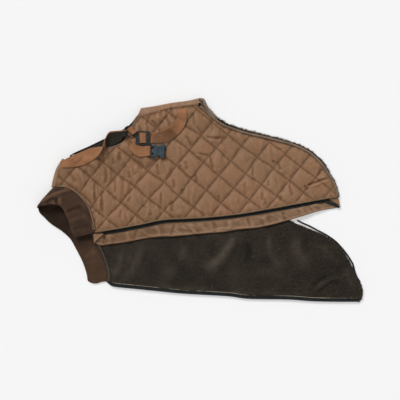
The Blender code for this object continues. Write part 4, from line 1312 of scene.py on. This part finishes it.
# ---------------------------------------------------------------- the far half
@dataclass
class FarHalf:
    """The lower layer, plush side up: lining, outer cloth, zip half, binding and elastic."""

    fine: int = 6             # faces across for each section of the frame's grid
    fold_inset: float = 9.5   # how far the belly fold keeps both layers back, mm
    lining_wall: float = 1.2
    outer_wall: float = 1.7
    lowest_pile: float = 3.6  # heights of the pile, zip tape, teeth, cords and binding, mm
    tape_height: float = 4.6
    teeth_height: float = 5.2
    cord_height: float = 5.3
    binding_height: float = 4.4
    tufts_tried: int = 150000
    tufts_kept: int = 48000
    rim_tufts: int = 3600
    elastic_radius: float = 1.75
    plush_folds: Points = (
        # x1, y1, x2, y2, width, height, bow
        (72, -74, 14, -142, 10.0, 3.0, 8),
        (142, -70, 166, -142, 8.0, 2.2, -9),
        (100, -84, 82, -150, 12.0, -1.6, 5),
        (-30, -92, -70, -160, 11.0, 1.6, 8),
        (-120, -96, -150, -165, 9.0, 1.5, 6),
        (-60, -120, 0, -176, 12.0, -1.4, 0),
        (-160, -110, -176, -160, 8.0, 1.6, 4),
        (200, -76, 222, -150, 14.0, 2.2, -8),
        (236, -187, 282, -159, 5.0, 2.2, 6),
        (232, -180, 276, -152, 5.0, -1.6, 6),
        (252, -96, 288, -140, 10.0, 1.8, 0),
        (300, -160, 318, -186, 6.0, 1.4, 0),
        (-100, -178, 40, -186, 5.0, 1.2, 0),
        (60, -190, 200, -196, 5.0, 1.3, 0),
    )

    def outline(self, spine_inset: float) -> Array:
        """Plan points from the spine edge, moved in, mm, to the neck, leg opening, fold and rump."""
        n = self.fine
        spine = moved_left(smooth_run(SPINE_FAR, 38 * n), spine_inset)
        fold = moved_left(smooth_run(BELLY_FOLD, 8 * n), -self.fold_inset)
        start = [(-288, 26), (-281, 45), (-275, 66), (-264, 84)]
        arm = smooth_run([start[-1], *ARMHOLE_FAR[-2::-1], (-134, 160), fold[0]], 7 * n)
        rump = smooth_run([fold[-1], (14, 150), *RUMP_FAR[::-1]], 20 * n)
        top = joined(smooth_run(start, 3 * n), arm, fold, rump)
        neck = smooth_run([spine[0], *NECK_FAR[-2::-1]], 20 * n)
        tail = smooth_run([spine[-1], *TAIL_FAR[1:]], 20 * n)
        neck[-1], tail[-1] = top[0], top[-1]
        return patch(spine, top, neck, tail)

    def shown(self, xy: Array) -> Array:
        """0 where the near half lies on top, rising to 1 where this half lies free."""
        distance, side, _ = nearest(xy, smooth_run([(-330, -20), *GUARD_FOLD, (340, 0)], 90))
        return eased((distance * (side < 0) - 2) / 34)

    def lining(self) -> bpy.types.Object:
        """The plush, with its ridges where the half lies free."""
        xy = self.outline(7.0)
        free = self.shown(xy)
        edge = np.minimum.reduce([nearest(xy, smooth_run(points, count))[0] for points, count in (
            (SPINE_FAR, 40), (TAIL_FAR, 12), (NECK_FAR, 30))])
        held = eased((edge - 2) / 16)
        drift = 1.6 * noise_at(xy, 48, 81) + 0.5 * noise_at(xy, 17, 82)
        nap = 0.28 * noise_at(xy, 5, 83)
        ridge = folds(xy, self.plush_folds)
        lift = FAR_TOP_Z - 0.3 + (1.7 * ridge + drift + 1.2) * free * held + nap * free
        # painted highlight on the ridges, painted shade in the troughs, both also in soft swirls, and
        # darker towards the tail
        swirl = noise_at(xy, 24, 84)
        lie = np.clip(0.02 + 0.22 * ridge + 0.15 * swirl, 0, 0.85)
        dark = np.clip(0.36 + 0.0022 * (xy[..., 0] - 90) - 0.2 * ridge - 0.3 * swirl, 0, 0.85)
        obj = cloth("far_plush_lining", xy, np.maximum(lift, self.lowest_pile), self.lining_wall,
                    LIGHT_PAINTED_PILE, Slot.PLUSH, ["lining_far"], nap=np.stack([lie, dark], -1))
        self.surface = (xy, lift)
        return obj

    def pile(self) -> bpy.types.Object:
        """Tufts over the plush where it shows, brushed in soft swirls."""
        rng = np.random.default_rng(91)
        xy, lift = self.surface
        rows, columns = xy.shape[:2]
        j, i = (rng.uniform(0, side - 1.001, self.tufts_tried) for side in (rows, columns))
        jj, ii = j.astype(int), i.astype(int)
        fj, fi = (j % 1)[:, None], (i % 1)[:, None]
        grid = np.dstack([xy, lift])
        root = ((grid[jj, ii] * (1 - fi) + grid[jj, ii + 1] * fi) * (1 - fj)
                + (grid[jj + 1, ii] * (1 - fi) + grid[jj + 1, ii + 1] * fi) * fj)
        free = self.shown(root[:, :2]) > 0.02
        root = root[free][:self.tufts_kept]
        swirl = math.pi * (0.15 + noise_at(root, 42, 92)
                           + 0.4 * noise_at(root, 9, 93))
        aim = np.column_stack([np.cos(swirl), -np.abs(np.sin(swirl)) * 0.8,
                               0.75 + rng.normal(0, 0.25, len(root))])
        root[:, 2] -= 0.2
        tip = root + unit(aim) * rng.uniform(1.6, 2.9, (len(root), 1))
        return tufts("far_lining_pile", root, tip, LINING_TUFT_RADIUS, PILE_TIPS)

    def outer(self) -> bpy.types.Object:
        """The outer cloth, face down on the surface."""
        xy = self.outline(0.0)
        lift = np.full(xy.shape[:2], self.outer_wall + 0.05)
        obj = cloth("far_outer_cloth", xy, lift, self.outer_wall, OUTER_FAR, Slot.QUILTED,
                    ["shell_far"], quilt=NearHalf().quilt_map(xy * (1, -1)))
        return obj

    def edges(self) -> None:
        """Zip tape and teeth, the line of its edge and the leg binding."""
        spine = smooth_run(SPINE_FAR, 320)
        xy = np.stack([moved_left(spine, d) for d in np.linspace(8.2, 0.2, 7)])
        tape = cloth("far_zip_tape", xy, self.tape_height + 0.5 * noise_at(xy, 16, 95), TAPE_WALL,
                     ZIP_TAPE, Slot.ZIP, ["zip_far"])
        zip_teeth("far_zip_teeth", moved_left(spine, 1.3)[3:-3],
                  lambda xy: np.full(len(xy), self.teeth_height))
        line = moved_left(spine, 7.9)[4:-2]
        cord("far_zip_stitched_edge", line, self.cord_height + 0.5 * noise_at(line, 18, 96), 0.8,
             HEM_LINE, sides=8)
        arm = smooth_run([(-124, 176), (-134, 160), *ARMHOLE_FAR], 110)
        cord("leg_opening_binding", moved_left(arm, -1.2)[6:-2], self.binding_height, 1.3, ELASTIC,
             ["armhole_binding"])

    def neck_seam(self) -> bpy.types.Object:
        """The covered seam between the plush and the collar."""
        line = moved_left(smooth_run(NECK_FAR, 90), 4.2)[38:-3]
        return cord("far_neck_seam_cord", line, self.cord_height + 0.2 * noise_at(line, 9, 151),
                    1.5, SEAM_COVER)

    def elastic(self) -> bpy.types.Object:
        """The rear leg elastic, slightly off the plush in places."""
        run = smooth_run(RUMP_FAR, 360)[:int(360 * 0.42)]
        off = np.interp(np.linspace(0, 1, len(run)), (0, 0.06, 0.14, 0.25, 0.4, 0.55, 0.7, 0.85, 1),
                        (0.5, 0.5, 3.0, 2.0, 1.0, 1.0, 2.5, 5.0, 6.0))
        run = moved_left(run, -(off + ELASTIC_R))
        lift = ELASTIC_R + 0.3 + 0.5 * np.abs(noise_at(run, 30, 97))
        return cord("rear_leg_elastic", run, lift, self.elastic_radius, ELASTIC,
                    ["leg_elastic"])

    def hem_pile(self) -> bpy.types.Object:
        """Pile along the rump edge of this half."""
        run = np.vstack([smooth_run(TAIL_FAR, 60), smooth_run(RUMP_FAR, 260)[1:120]])
        return pile_strip("far_rump_pile", run, -normals_of(run), self.rim_tufts,
                          lambda xy: np.full(len(xy), self.lowest_pile), length=(1.4, 3.4),
                          lean=0.5, seed=99)

    def build(self) -> None:
        """Builds the far half from the surface up."""
        self.outer()
        self.lining()
        self.pile()
        self.hem_pile()
        self.edges()
        self.neck_seam()
        self.elastic()


# ---------------------------------------------------------------- folded panels and collar
@dataclass
class FoldedPanels:
    """The belly and chest panels, which wrap round the folded edges."""

    wall: float = 1.3
    clearance: float = 0.1    # between the panels' undersides and the surface, mm
    bulge: float = 1.4        # how far they swell between the seam and the fold
    turns: int = 13           # rows round the fold
    belly_folds: Points = (
        (-104, 190, -100, 172, 4.0, 1.2, 0),
        (-88, 192, -82, 176, 3.5, -1.0, 0),
        (-66, 196, -60, 184, 4.0, 1.1, 0),
        (-44, 200, -40, 186, 3.0, -0.9, 0),
        (-20, 202, -16, 188, 4.0, 1.0, 0),
    )

    def wrap(self, name: str, near: Array, fold: Array, far: Array, across: int,
             node: str) -> bpy.types.Object:
        """Models cloth from a near seam over a fold and back under to a far seam.

        Args:
            name: the piece's name.
            near: the near seam's plan points.
            fold: the folded edge's, one for each of them.
            far: the far seam's.
            across: steps on each flat stretch.
            node: the frame's node that the piece stands for.
        """
        top_z = rest_height(fold) + NEAR_BUILD
        radius = (top_z - self.clearance) / 2
        out = unit(fold - near)
        centre = fold - out * radius[:, None]
        start = rest_height(near) + NEAR_BUILD
        rows = []
        for share in np.linspace(0, 1, across)[:-1]:
            xy = near * (1 - share) + centre * share
            z = start * (1 - share) + top_z * share + self.bulge * math.sin(math.pi * share)
            rows.append(np.column_stack([xy, z + folds(xy, self.belly_folds) * eased(share * 3)]))
        for turn in np.linspace(math.pi / 2, -math.pi / 2, self.turns):
            xy = centre + out * (radius * math.cos(turn))[:, None]
            z = self.clearance + radius * (1 + math.sin(turn))
            bump = folds(xy, self.belly_folds) * max(0.0, math.sin(turn))
            rows.append(np.column_stack([xy, z + bump]))
        for share in np.linspace(0, 1, across)[1:]:
            xy = centre * (1 - share) + far * share
            rows.append(np.column_stack([xy, np.full(len(xy), self.clearance)]))
        points = np.stack(rows)
        x, y = points[..., 0], points[..., 1]
        shares = np.linspace(0, 2.6, len(rows))[:, None]
        ruffle = NearHalf().crinkle(x, y) + 0.9 * soft_noise(x, y, 17, 142)
        ruffle += 0.5 * np.sin(0.9 * x + 2 * soft_noise(x, y, 20, 143)) * np.exp(-shares / 0.25)
        points[..., 2] += ruffle * eased((points[..., 2] - 6) / 4)
        # the relief map gives the panels painted shade in the ruffles' hollows and painted highlight
        # on their crests
        obj = sheet_mesh(name, points, {"relief": relief(ruffle, 2)}, self.wall)
        finish_piece(obj, BELLY_CLOTH, [node])
        return obj

    def build(self) -> None:
        """Builds both panels."""
        for node, edges, steps, skipped, across, flat, area in (
                ("belly_panel", (BELLY_SEAM_NEAR, BELLY_FOLD, BELLY_SEAM_FAR[::-1]), 120, 0, 16,
                 (0.17, 0.14), 0.0155),
                ("chest_panel", (CHEST_SEAM_NEAR, CHEST_FOLD, CHEST_SEAM_FAR[::-1]), 50, 2, 8,
                 (0.065, 0.055), 0.0022)):
            near, fold, far = (smooth_run(edge, steps) for edge in edges)
            self.wrap(f"{node}_cloth", moved_left(near, -0.2)[skipped:], fold[skipped:],
                      far[skipped:], across, node)


@dataclass
class Collar:
    """The ribbed band: near side, round its fold, and far side, with its mouth gaping."""

    steps: int = 150          # sections along each side
    turns: int = 42           # sections round the fold
    cross: int = 26           # faces from seam to mouth
    gape: float = 11.0
    fold_rise: float = 3.0
    wall: float = 3.4
    rib_pitch: float = 3.1
    rib_height: float = 0.55
    folds: Points = (
        (-320, -5, -264, 20, 3.4, 1.9, 3),
        (-312, -8, -296, 6, 5.0, -1.2, 1),
        (-290, -8, -290, 4, 4.0, -2.2, 0),
        (-285, 2, -283, -9, 2.5, 1.6, 0), (-277, 22, -262, 21, 3.0, 1.2, 0),
        (-272, -26, -240, -14, 4.5, -1.3, 1),
        (-266, -44, -228, -34, 6.0, 0.9, 1),
        (-262, -60, -222, -52, 5.0, -0.7, 0),
        (-240, -118, -212, -104, 7.0, 0.7, 0),
        (-236, -138, -200, -132, 6.0, -0.6, 0),
    )

    def sections(self) -> tuple[Array, Array, Array, Array]:
        """Seam and mouth points with their heights, near end to far end."""
        seam_near = moved_left(smooth_run(NECK_NEAR, self.steps), 0.4)
        seam_far = moved_left(smooth_run(NECK_FAR, self.steps), 1.2)
        low = self.wall
        share = np.linspace(0, 1, self.steps + 1)
        out = np.interp(share, (0, 0.15, 0.5, 0.7, 0.85, 1), (3.6, 3.0, 1.8, 2.6, 0.4, -0.8))
        mouth_far = moved_left(smooth_run(COLLAR_MOUTH_FAR, self.steps), -out)
        mouth_far = mouth_far + eased(1 - share / 0.12)[:, None] * (-4.2, -2.6)
        mouth_near = smooth_run(COLLAR_MOUTH_NEAR, self.steps)
        mouth_near = mouth_near + eased((share - 0.8) / 0.2)[:, None] * (-2.4, -2.6)
        seam_z = rest_height(seam_near) + NEAR_BUILD + 0.2
        rise = np.sin(math.pi * share) ** 0.7 * self.gape + share * self.fold_rise
        seams, mouths = [seam_near], [mouth_near]
        seam_zs, mouth_zs = [seam_z], [seam_z + rise]
        for step in range(1, self.turns):
            part = step / self.turns
            turn = math.pi / 2 - math.pi * part
            reach = math.cos(turn)
            height = (1 + math.sin(turn)) / 2
            seams.append((seam_near[-1] * (1 - part) + seam_far[0] * part
                          + reach * np.array([-2.6, 1.5]))[None])
            mouths.append((mouth_near[-1] * (1 - part) + mouth_far[0] * part
                           + reach * np.array([-3.4, -1.6]))[None])
            seam_zs.append(np.array([low + (seam_z[-1] - low) * height]))
            mouth_zs.append(np.array([low + (seam_z[-1] + rise[-1] - low) * height]))
        seams.append(seam_far)
        mouths.append(mouth_far)
        seam_zs.append(np.full(len(seam_far), low))
        mouth_zs.append(np.full(len(mouth_far), low))
        return (np.vstack(seams), np.vstack(mouths), np.concatenate(seam_zs),
                np.concatenate(mouth_zs))

    def build(self) -> bpy.types.Object:
        """Builds the band with its ribs, creases and soft lip."""
        seam, mouth, seam_z, mouth_z = self.sections()
        middle = (seam + mouth) / 2
        length = np.concatenate([[0], np.cumsum(np.hypot(*np.diff(middle, axis=0).T))])
        sharp = np.interp(np.arange(0, length[-1], 0.62), length, np.arange(len(length)))
        k = sharp.astype(int).clip(0, len(length) - 2)
        seam, mouth, seam_z, mouth_z = (
            (run[k].T * (1 - (sharp - k)) + run[k + 1].T * (sharp - k)).T
            for run in (seam, mouth, seam_z, mouth_z))
        along = np.interp(sharp, np.arange(len(length)), length)
        share = np.linspace(0, 1, self.cross + 1)[:, None]
        xy = seam[None] * (1 - share[..., None]) + mouth[None] * share[..., None]
        z = seam_z * (1 - share) + mouth_z * share
        z = z + np.sin(math.pi * share) * (mouth_z - 2.0) * 0.14
        wavy = np.interp(share[:, 0], (0, 0.15, 0.35, 0.56, 0.72, 0.9, 0.97, 1),
                         (0.5, 2.2, 0, -3.8, -5, -4, -1.5, 1.0))
        xy[..., 1] += wavy[:, None] * eased(1 - (along[-1] - along) / 16)
        ribs = self.rib_height * np.cos(along / self.rib_pitch * math.tau)
        lip = -1.1 * eased((share - 0.9) / 0.1)
        drift = 0.7 * noise_at(xy, 22, 101)
        crease = folds(xy, self.folds) * np.where(z > 6, 1.0, 0.75)
        lift = (ribs * (1 - 0.5 * eased((share - 0.92) / 0.08)) + lip
                + (drift + crease) * np.sin(math.pi * np.clip(share * 0.9 + 0.08, 0, 1)))
        points = np.dstack([xy, z])
        across, ahead = np.gradient(points, axis=(0, 1))
        normal = unit(np.cross(ahead, across))
        if normal[3, 10, 2] < 0:
            normal = -normal
        points = points + normal * lift[..., None]
        points[..., 2] = np.maximum(points[..., 2], self.wall - 0.6)
        width = np.linalg.norm(mouth - seam, axis=1)
        uv = np.stack(np.broadcast_arrays(along[None] * MM, share * width[None] * MM), -1)
        # painted shade in the creases and painted highlight on their crests
        shade_and_highlight = relief((drift + 2.2 * crease) * np.ones(z.shape), 4)
        # more painted shade inside the gaping mouth
        inside = eased((9 - z) / 5) * eased((xy[..., 1] + 84) / 14) * eased((-246 - xy[..., 0]) / 12)
        # the far end is made lighter through the highlight share
        far_end = eased((-88 - xy[..., 1]) / 20) * (z < 7)
        shade_and_highlight = np.clip(shade_and_highlight + np.stack([0.75 * inside, 0.45 * far_end], -1), 0, 1)
        obj = sheet_mesh("collar_rib_band", points, {"rib": uv, "relief": shade_and_highlight}, self.wall - 0.8)
        finish_piece(obj, KNIT, ["collar"])
        return obj


# ---------------------------------------------------------------- webbing and hardware
def above_top(table: Array) -> Array:
    """Heights for x, y, lift points, above the near half's outer cloth."""
    out = table.copy()
    out[:, 2] = rest_height(table[:, :2]) + NEAR_BUILD + table[:, 2]
    return out


@dataclass
class Strap:
    """One length of webbing, through pairs of edge points: x, y, lift, and the same again."""

    name: str
    nodes: Sequence[str]
    table: Points
    flat: tuple[float, float]
    rests_on: Sequence[str] = ("near_outer_cloth",)
    raise_by: float = 1.0
    wall: float = 1.3
    columns: int = 15         # points across it
    clearance: float = 0.9    # between it and the cloth under it, mm
    shaded: tuple[float, float, float] = (0, 0, 0)   # where painted shade darkens it, mm along it, and how much

    def build(self) -> bpy.types.Object:
        """Builds the webbing, slightly hollow across and worn at its edges."""
        rows = np.asarray(self.table, float)
        run = smooth_run(rows, 10 * len(rows))
        first, second = above_top(run[:, :3]), above_top(run[:, 3:])
        share = np.linspace(0, 1, self.columns)[:, None]
        points = first[None] * (1 - share[..., None]) + second[None] * share[..., None]
        along = length_along((first + second) / 2)
        width = np.linalg.norm(second - first, axis=1)
        hollow = 0.35 * np.cos(share * math.tau)
        wave = 0.3 * soft_noise(*np.broadcast_arrays(along[None], share * 20), 14, 111)
        points[..., 2] += hollow + wave + self.raise_by
        distance, side, _ = nearest(points[..., :2], smooth_run(ARMHOLE_NEAR, 40))
        inside = np.where(points[..., 0] > -118, 1.0, eased(0.5 - side * distance / 5))
        bearing = NearHalf().surface(points[..., :2]) + self.clearance + self.wall / 2
        points[..., 2] += np.maximum(0, bearing - points[..., 2]) * inside
        uv = np.stack(np.broadcast_arrays(share * width * MM, along[None] * MM), -1)
        # painted shade over the stretch that shaded gives
        start, end, strength = self.shaded
        dark = strength * eased((along - start) / 3) * eased((end - along) / 3)
        turned = np.stack(np.broadcast_arrays(share, dark[None]), -1)
        obj = sheet_mesh(self.name, points, {"strap": uv, "turn": turned}, self.wall, offset=0)
        bevelled(obj, "edges", 0.0003, 2, angle=50)
        apply_modifiers(obj)
        finish_piece(obj, TAN_WEBBING, self.nodes)
        return obj


@dataclass
class Harness:
    """The webbing between the front legs, with its ring, glide and open buckle."""

    ring_radius: float = 0.0100      # m, as are the sizes under it
    ring_wire: float = 0.00155
    glide_wall: float = 0.0026
    socket_size: tuple[float, float, float] = (0.027, 0.028, 0.009)
    chest: Points = (
        (-283, 77, 1.2, -280, 65, 1.2), (-262, 88, 1.4, -260, 66, 1.4),
        (-241, 97, 1.6, -238, 70, 2.0), (-224, 104, 1.6, -219, 79, 4.0),
        (-211, 106.5, 1.4, -207, 88, 8.0), (-203, 107, 1.3, -199, 98, 13.0),
        (-196.5, 106.5, 1.2, -194.5, 111, 16.5), (-190, 107, 1.2, -191, 124, 13.0),
        (-181, 109.5, 1.2, -184, 137, 7.5), (-171, 113, 1.2, -173, 139.5, 3.2),
        (-162, 118, 1.2, -162, 140.5, 1.4), (-156, 123, 1.4, -156, 141.5, 1.4),
        (-151.5, 127, 1.4, -151.5, 142, 1.4), (-149.3, 127.5, 2.8, -149.3, 141.5, 2.8),
        (-148.4, 128, 4.6, -148.4, 141, 4.6), (-149.2, 128, 6.4, -149.2, 141, 6.4),
        (-152, 127.5, 7.2, -152, 141, 7.2), (-156, 126.5, 6.2, -156, 140.5, 6.2),
        (-160, 124, 4.6, -160, 139, 4.8),
    )
    belly: Points = (
        (-27, 186, 1.2, -47, 183, 1.2), (-27, 172, 1.4, -47, 172, 2.0),
        (-29, 156, 2.6, -49, 160, 5.4), (-37, 141, 2.8, -56, 150, 8.8),
        (-50, 128, 2.0, -65, 145, 8.8), (-66, 118, 1.6, -78, 141, 5.4),
        (-84, 115.5, 1.3, -90, 138, 2.4), (-99, 115, 1.2, -99, 135.5, 1.2),
        (-106, 115, 1.4, -106, 135.5, 1.4), (-110.2, 115, 8.3, -110.2, 135.5, 8.3),
        (-113, 115, 9.4, -113, 135.5, 9.4), (-118, 115, 9.4, -118, 135.5, 9.4),
        (-120.6, 115, 8.3, -120.6, 135.5, 8.3), (-124.3, 115, 1.6, -124.3, 135.5, 1.4),
        (-132, 117, 1.2, -131, 135.5, 1.2),
    )
    buckle_end: Points = (
        (-148, 120, 6.0, -142, 124, 6.5), (-145, 109, 6.4, -137, 118, 7.0),
        (-139, 98, 6.2, -129.5, 111.5, 7.0), (-131, 90, 5.6, -124.5, 109.5, 6.2),
        (-122, 87, 5.2, -119, 108.8, 5.6),
        (-114, 88, 5.0, -113.5, 108.6, 5.0), (-108, 88.5, 7.3, -107.5, 108.8, 7.3),
        (-103, 88.7, 7.3, -102.3, 109, 7.3), (-101, 88.7, 5.6, -100.2, 109, 5.6),
    )

    ring_loop: Points = (
        (-148, 141, 2.6, -137, 129, 2.6), (-147.5, 142, 6.0, -136.5, 130.5, 6.0),
        (-146.5, 143.5, 9.2, -135.5, 132, 9.2), (-143.5, 145.5, 10.2, -132.5, 134, 10.2),
        (-140.5, 147.5, 9.0, -130.0, 136, 9.0), (-138, 148.5, 5.0, -128.5, 138, 5.0),
        (-137, 149, 2.4, -127.5, 139, 2.4),
    )

    def centre(self, x: float, y: float, lift: float) -> Array:
        """A hard piece's middle, m."""
        return above_top(np.array([[x, y, lift + 1.0]]))[0] * MM

    def ring(self) -> bpy.types.Object:
        """The round ring that the chest strap turns round."""
        deselect()
        bpy.ops.mesh.primitive_torus_add(location=self.centre(-143.5, 138.5, 5.6),
                                         major_radius=self.ring_radius,
                                         minor_radius=self.ring_wire, major_segments=64,
                                         minor_segments=16)
        obj = settle(bpy.context.object)
        obj.name = obj.data.name = "round_ring"
        bpy.ops.object.shade_smooth()
        return finish_piece(obj, COATED_WIRE, ["strap_ring"])

    def glide(self) -> bpy.types.Object:
        """The three-bar glide, with rounded bars."""
        x, y, z = self.centre(-115.8, 124.5, 5.6)
        deselect()
        bpy.ops.mesh.primitive_grid_add(x_subdivisions=5, y_subdivisions=3, size=1)
        obj = bpy.context.object
        obj.name = obj.data.name = "strap_glide_frame"
        xs = np.array([-14.5, -6.8, -1.2, 1.2, 6.4, 14.5]) * MM
        ys = np.array([-14.6, -10.2, 10.6, 14.6]) * MM
        for v in obj.data.vertices:
            i, j = v.index % 6, v.index // 6
            v.co = (xs[i], ys[j], 0)
        bpy.ops.object.mode_set(mode="EDIT")
        mesh = bmesh.from_edit_mesh(obj.data)
        for face in mesh.faces:
            middle = face.calc_center_median()
            face.select = abs(middle.y) < 0.01 and 0.0012 < abs(middle.x) < 0.0068
        bmesh.update_edit_mesh(obj.data)
        bpy.ops.mesh.delete(type="FACE")
        bpy.ops.mesh.select_all(action="SELECT")
        bpy.ops.mesh.extrude_region_move(TRANSFORM_OT_translate={
            "value": (0, 0, self.glide_wall)})
        bpy.ops.mesh.select_all(action="SELECT")
        bpy.ops.mesh.normals_make_consistent(inside=False)
        bpy.ops.object.mode_set(mode="OBJECT")
        corners = obj.vertex_groups.new(name="corners")
        corners.add([v.index for v in obj.data.vertices
                     if abs(v.co.x) > 0.014 and abs(v.co.y) > 0.014], 1, "REPLACE")
        bevelled(obj, "corners", 0.0075, 7, group="corners")
        bevelled(obj, "edges", 0.0011, 4, angle=60)
        apply_modifiers(obj)
        obj.location = (x, y, z - self.glide_wall / 2)
        settle(obj)
        bpy.ops.object.shade_smooth_by_angle(angle=math.radians(40))
        return finish_piece(obj, GLIDE, ["strap_glide"])

    def buckle(self) -> bpy.types.Object:
        """The socket half of a side-release buckle, open, seen from its back."""
        body = self.block("buckle_socket_half", (0, 0, 0), self.socket_size)
        bevelled(body, "corners", 0.0022, 4)
        apply_modifiers(body)
        yoke_low = -0.0017
        steps = [("UNION", (-0.0172, 0, yoke_low), (0.0095, 0.028, 0.0036)),
                 ("DIFFERENCE", (-0.01565, 0, yoke_low), (0.0043, 0.0226, 0.012)),
                 ("DIFFERENCE", (0.0045, 0, 0), (0.020, 0.019, 0.005))]
        for side in (-1, 1):
            steps.append(("DIFFERENCE", (-0.0005, side * 0.0146, 0), (0.0115, 0.0096, 0.02)))
            steps.append(("DIFFERENCE", (-0.0108, side * 0.0062, 0.0030), (0.0044, 0.0044, 0.007)))
        steps.append(("DIFFERENCE", (0.004, 0, 0.00435), (0.011, 0.0125, 0.0009)))
        for operation, centre, size in steps:
            tool = self.block("tool", centre, size)
            bevelled(tool, "soft", min(size) * 0.22, 3)
            apply_modifiers(tool)
            cut = body.modifiers.new("cut", "BOOLEAN")
            cut.object, cut.operation, cut.solver = tool, operation, "EXACT"
            apply_modifiers(body)
            bpy.data.objects.remove(tool)
        choose(body)
        bpy.ops.object.mode_set(mode="EDIT")
        bpy.ops.mesh.select_all(action="SELECT")
        bpy.ops.mesh.remove_doubles(threshold=WELD)
        bpy.ops.object.mode_set(mode="OBJECT")
        body.rotation_euler.z = math.radians(-2.5)
        body.location = self.centre(-85, 99, 5.9)
        settle(body)
        bpy.ops.object.shade_smooth_by_angle(angle=math.radians(35))
        return finish_piece(body, MOULDED, ["buckle"])

    def block(self, name: str, centre: Sequence[float],
              size: Sequence[float]) -> bpy.types.Object:
        """A box at its place and size, m, which later steps shape."""
        deselect()
        bpy.ops.mesh.primitive_cube_add(size=1, location=centre, scale=size)
        obj = settle(bpy.context.object)
        obj.name = obj.data.name = name
        return obj

    def build(self) -> None:
        """Builds the straps, then what they run through."""
        # painted shade: the chest strap's last stretch fully, the belly and buckle straps partly
        Strap("chest_webbing", ["chest_strap"], self.chest, (0.0195, 0.19),
              shaded=(101, 400, 1)).build()
        Strap("belly_webbing", ["belly_strap"], self.belly, (0.0215, 0.145),
              shaded=(50, 100, 0.42)).build()
        Strap("buckle_webbing", ["buckle_strap"], self.buckle_end, (0.0195, 0.062),
              shaded=(-8, 13, 0.35)).build()
        Strap("ring_loop_webbing", [], self.ring_loop, (0.0175, 0.026)).build()
        self.ring()
        self.glide()
        self.buckle()


# ---------------------------------------------------------------- stage
@dataclass
class Studio:
    """A pale, faintly glowing floor, soft light from above and a camera that looks straight down."""

    view_width: float = 0.816
    distance: float = 1.93
    focus_height: float = 0.008      # the height that the distance and width are taken at, m
    camera_y: float = -0.0007
    sensor: float = 36.0
    floor_shade: float = 0.5
    floor_glow: float = 0.39
    surround: float = 0.36
    lamps: Sequence[tuple[str, float, float, float, float]] = (
        # name, turn, height and spread in degrees, power
        ("key", 122.0, 41.0, 24.0, 2.75),
        ("fill", -40.0, 50.0, 60.0, 0.45),
    )

    def floor(self) -> None:
        """The pale plain floor, which glows a little so that it stays even."""
        deselect()
        bpy.ops.mesh.primitive_plane_add(size=8, location=(0, 0, 0))
        plane = bpy.context.object
        plane.name = "floor"
        made = bpy.data.materials.new("pale_floor")
        made.use_nodes = True
        shader = made.node_tree.nodes["Principled BSDF"]
        for label, value in {"Base Color": (*[self.floor_shade] * 3, 1), "Roughness": 0.9,
                             "Emission Color": (1, 1, 1, 1),
                             "Emission Strength": self.floor_glow}.items():
            shader.inputs[label].default_value = value
        plane.data.materials.append(made)

    def lights(self) -> None:
        """A soft key from the upper left, a weak fill and an even surround."""
        for name, turn, height, spread, power in self.lamps:
            lamp = bpy.data.lights.new(name, "SUN")
            lamp.energy, lamp.angle = power, math.radians(spread)
            obj = bpy.data.objects.new(name, lamp)
            obj.rotation_euler = (math.radians(90 - height), 0, math.radians(turn + 90))
            bpy.context.scene.collection.objects.link(obj)
        world = bpy.data.worlds.new("surround")
        world.use_nodes = True
        sky = world.node_tree.nodes["Background"]
        sky.inputs["Color"].default_value = (1, 1, 1, 1)
        sky.inputs["Strength"].default_value = self.surround
        bpy.context.scene.world = world
        bpy.context.scene.view_settings.view_transform = "Standard"

    def camera(self) -> None:
        """Straight down, with +Y up in the picture."""
        lens = bpy.data.cameras.new("camera")
        lens.sensor_width = self.sensor
        lens.lens = self.sensor * self.distance / self.view_width
        obj = bpy.data.objects.new("camera", lens)
        obj.location = (0, self.camera_y, self.distance + self.focus_height)
        bpy.context.scene.collection.objects.link(obj)
        bpy.context.scene.camera = obj

    def build(self) -> None:
        """Builds the stage."""
        self.camera()
        self.floor()
        self.lights()


def main() -> None:
    """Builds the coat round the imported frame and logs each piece."""
    logging.basicConfig(level=logging.INFO, format="%(name)s: %(message)s")
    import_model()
    Studio().build()
    FarHalf().build()
    FoldedPanels().build()
    NearHalf().build()
    Collar().build()
    Harness().build()


if __name__ == "__main__":
    main()
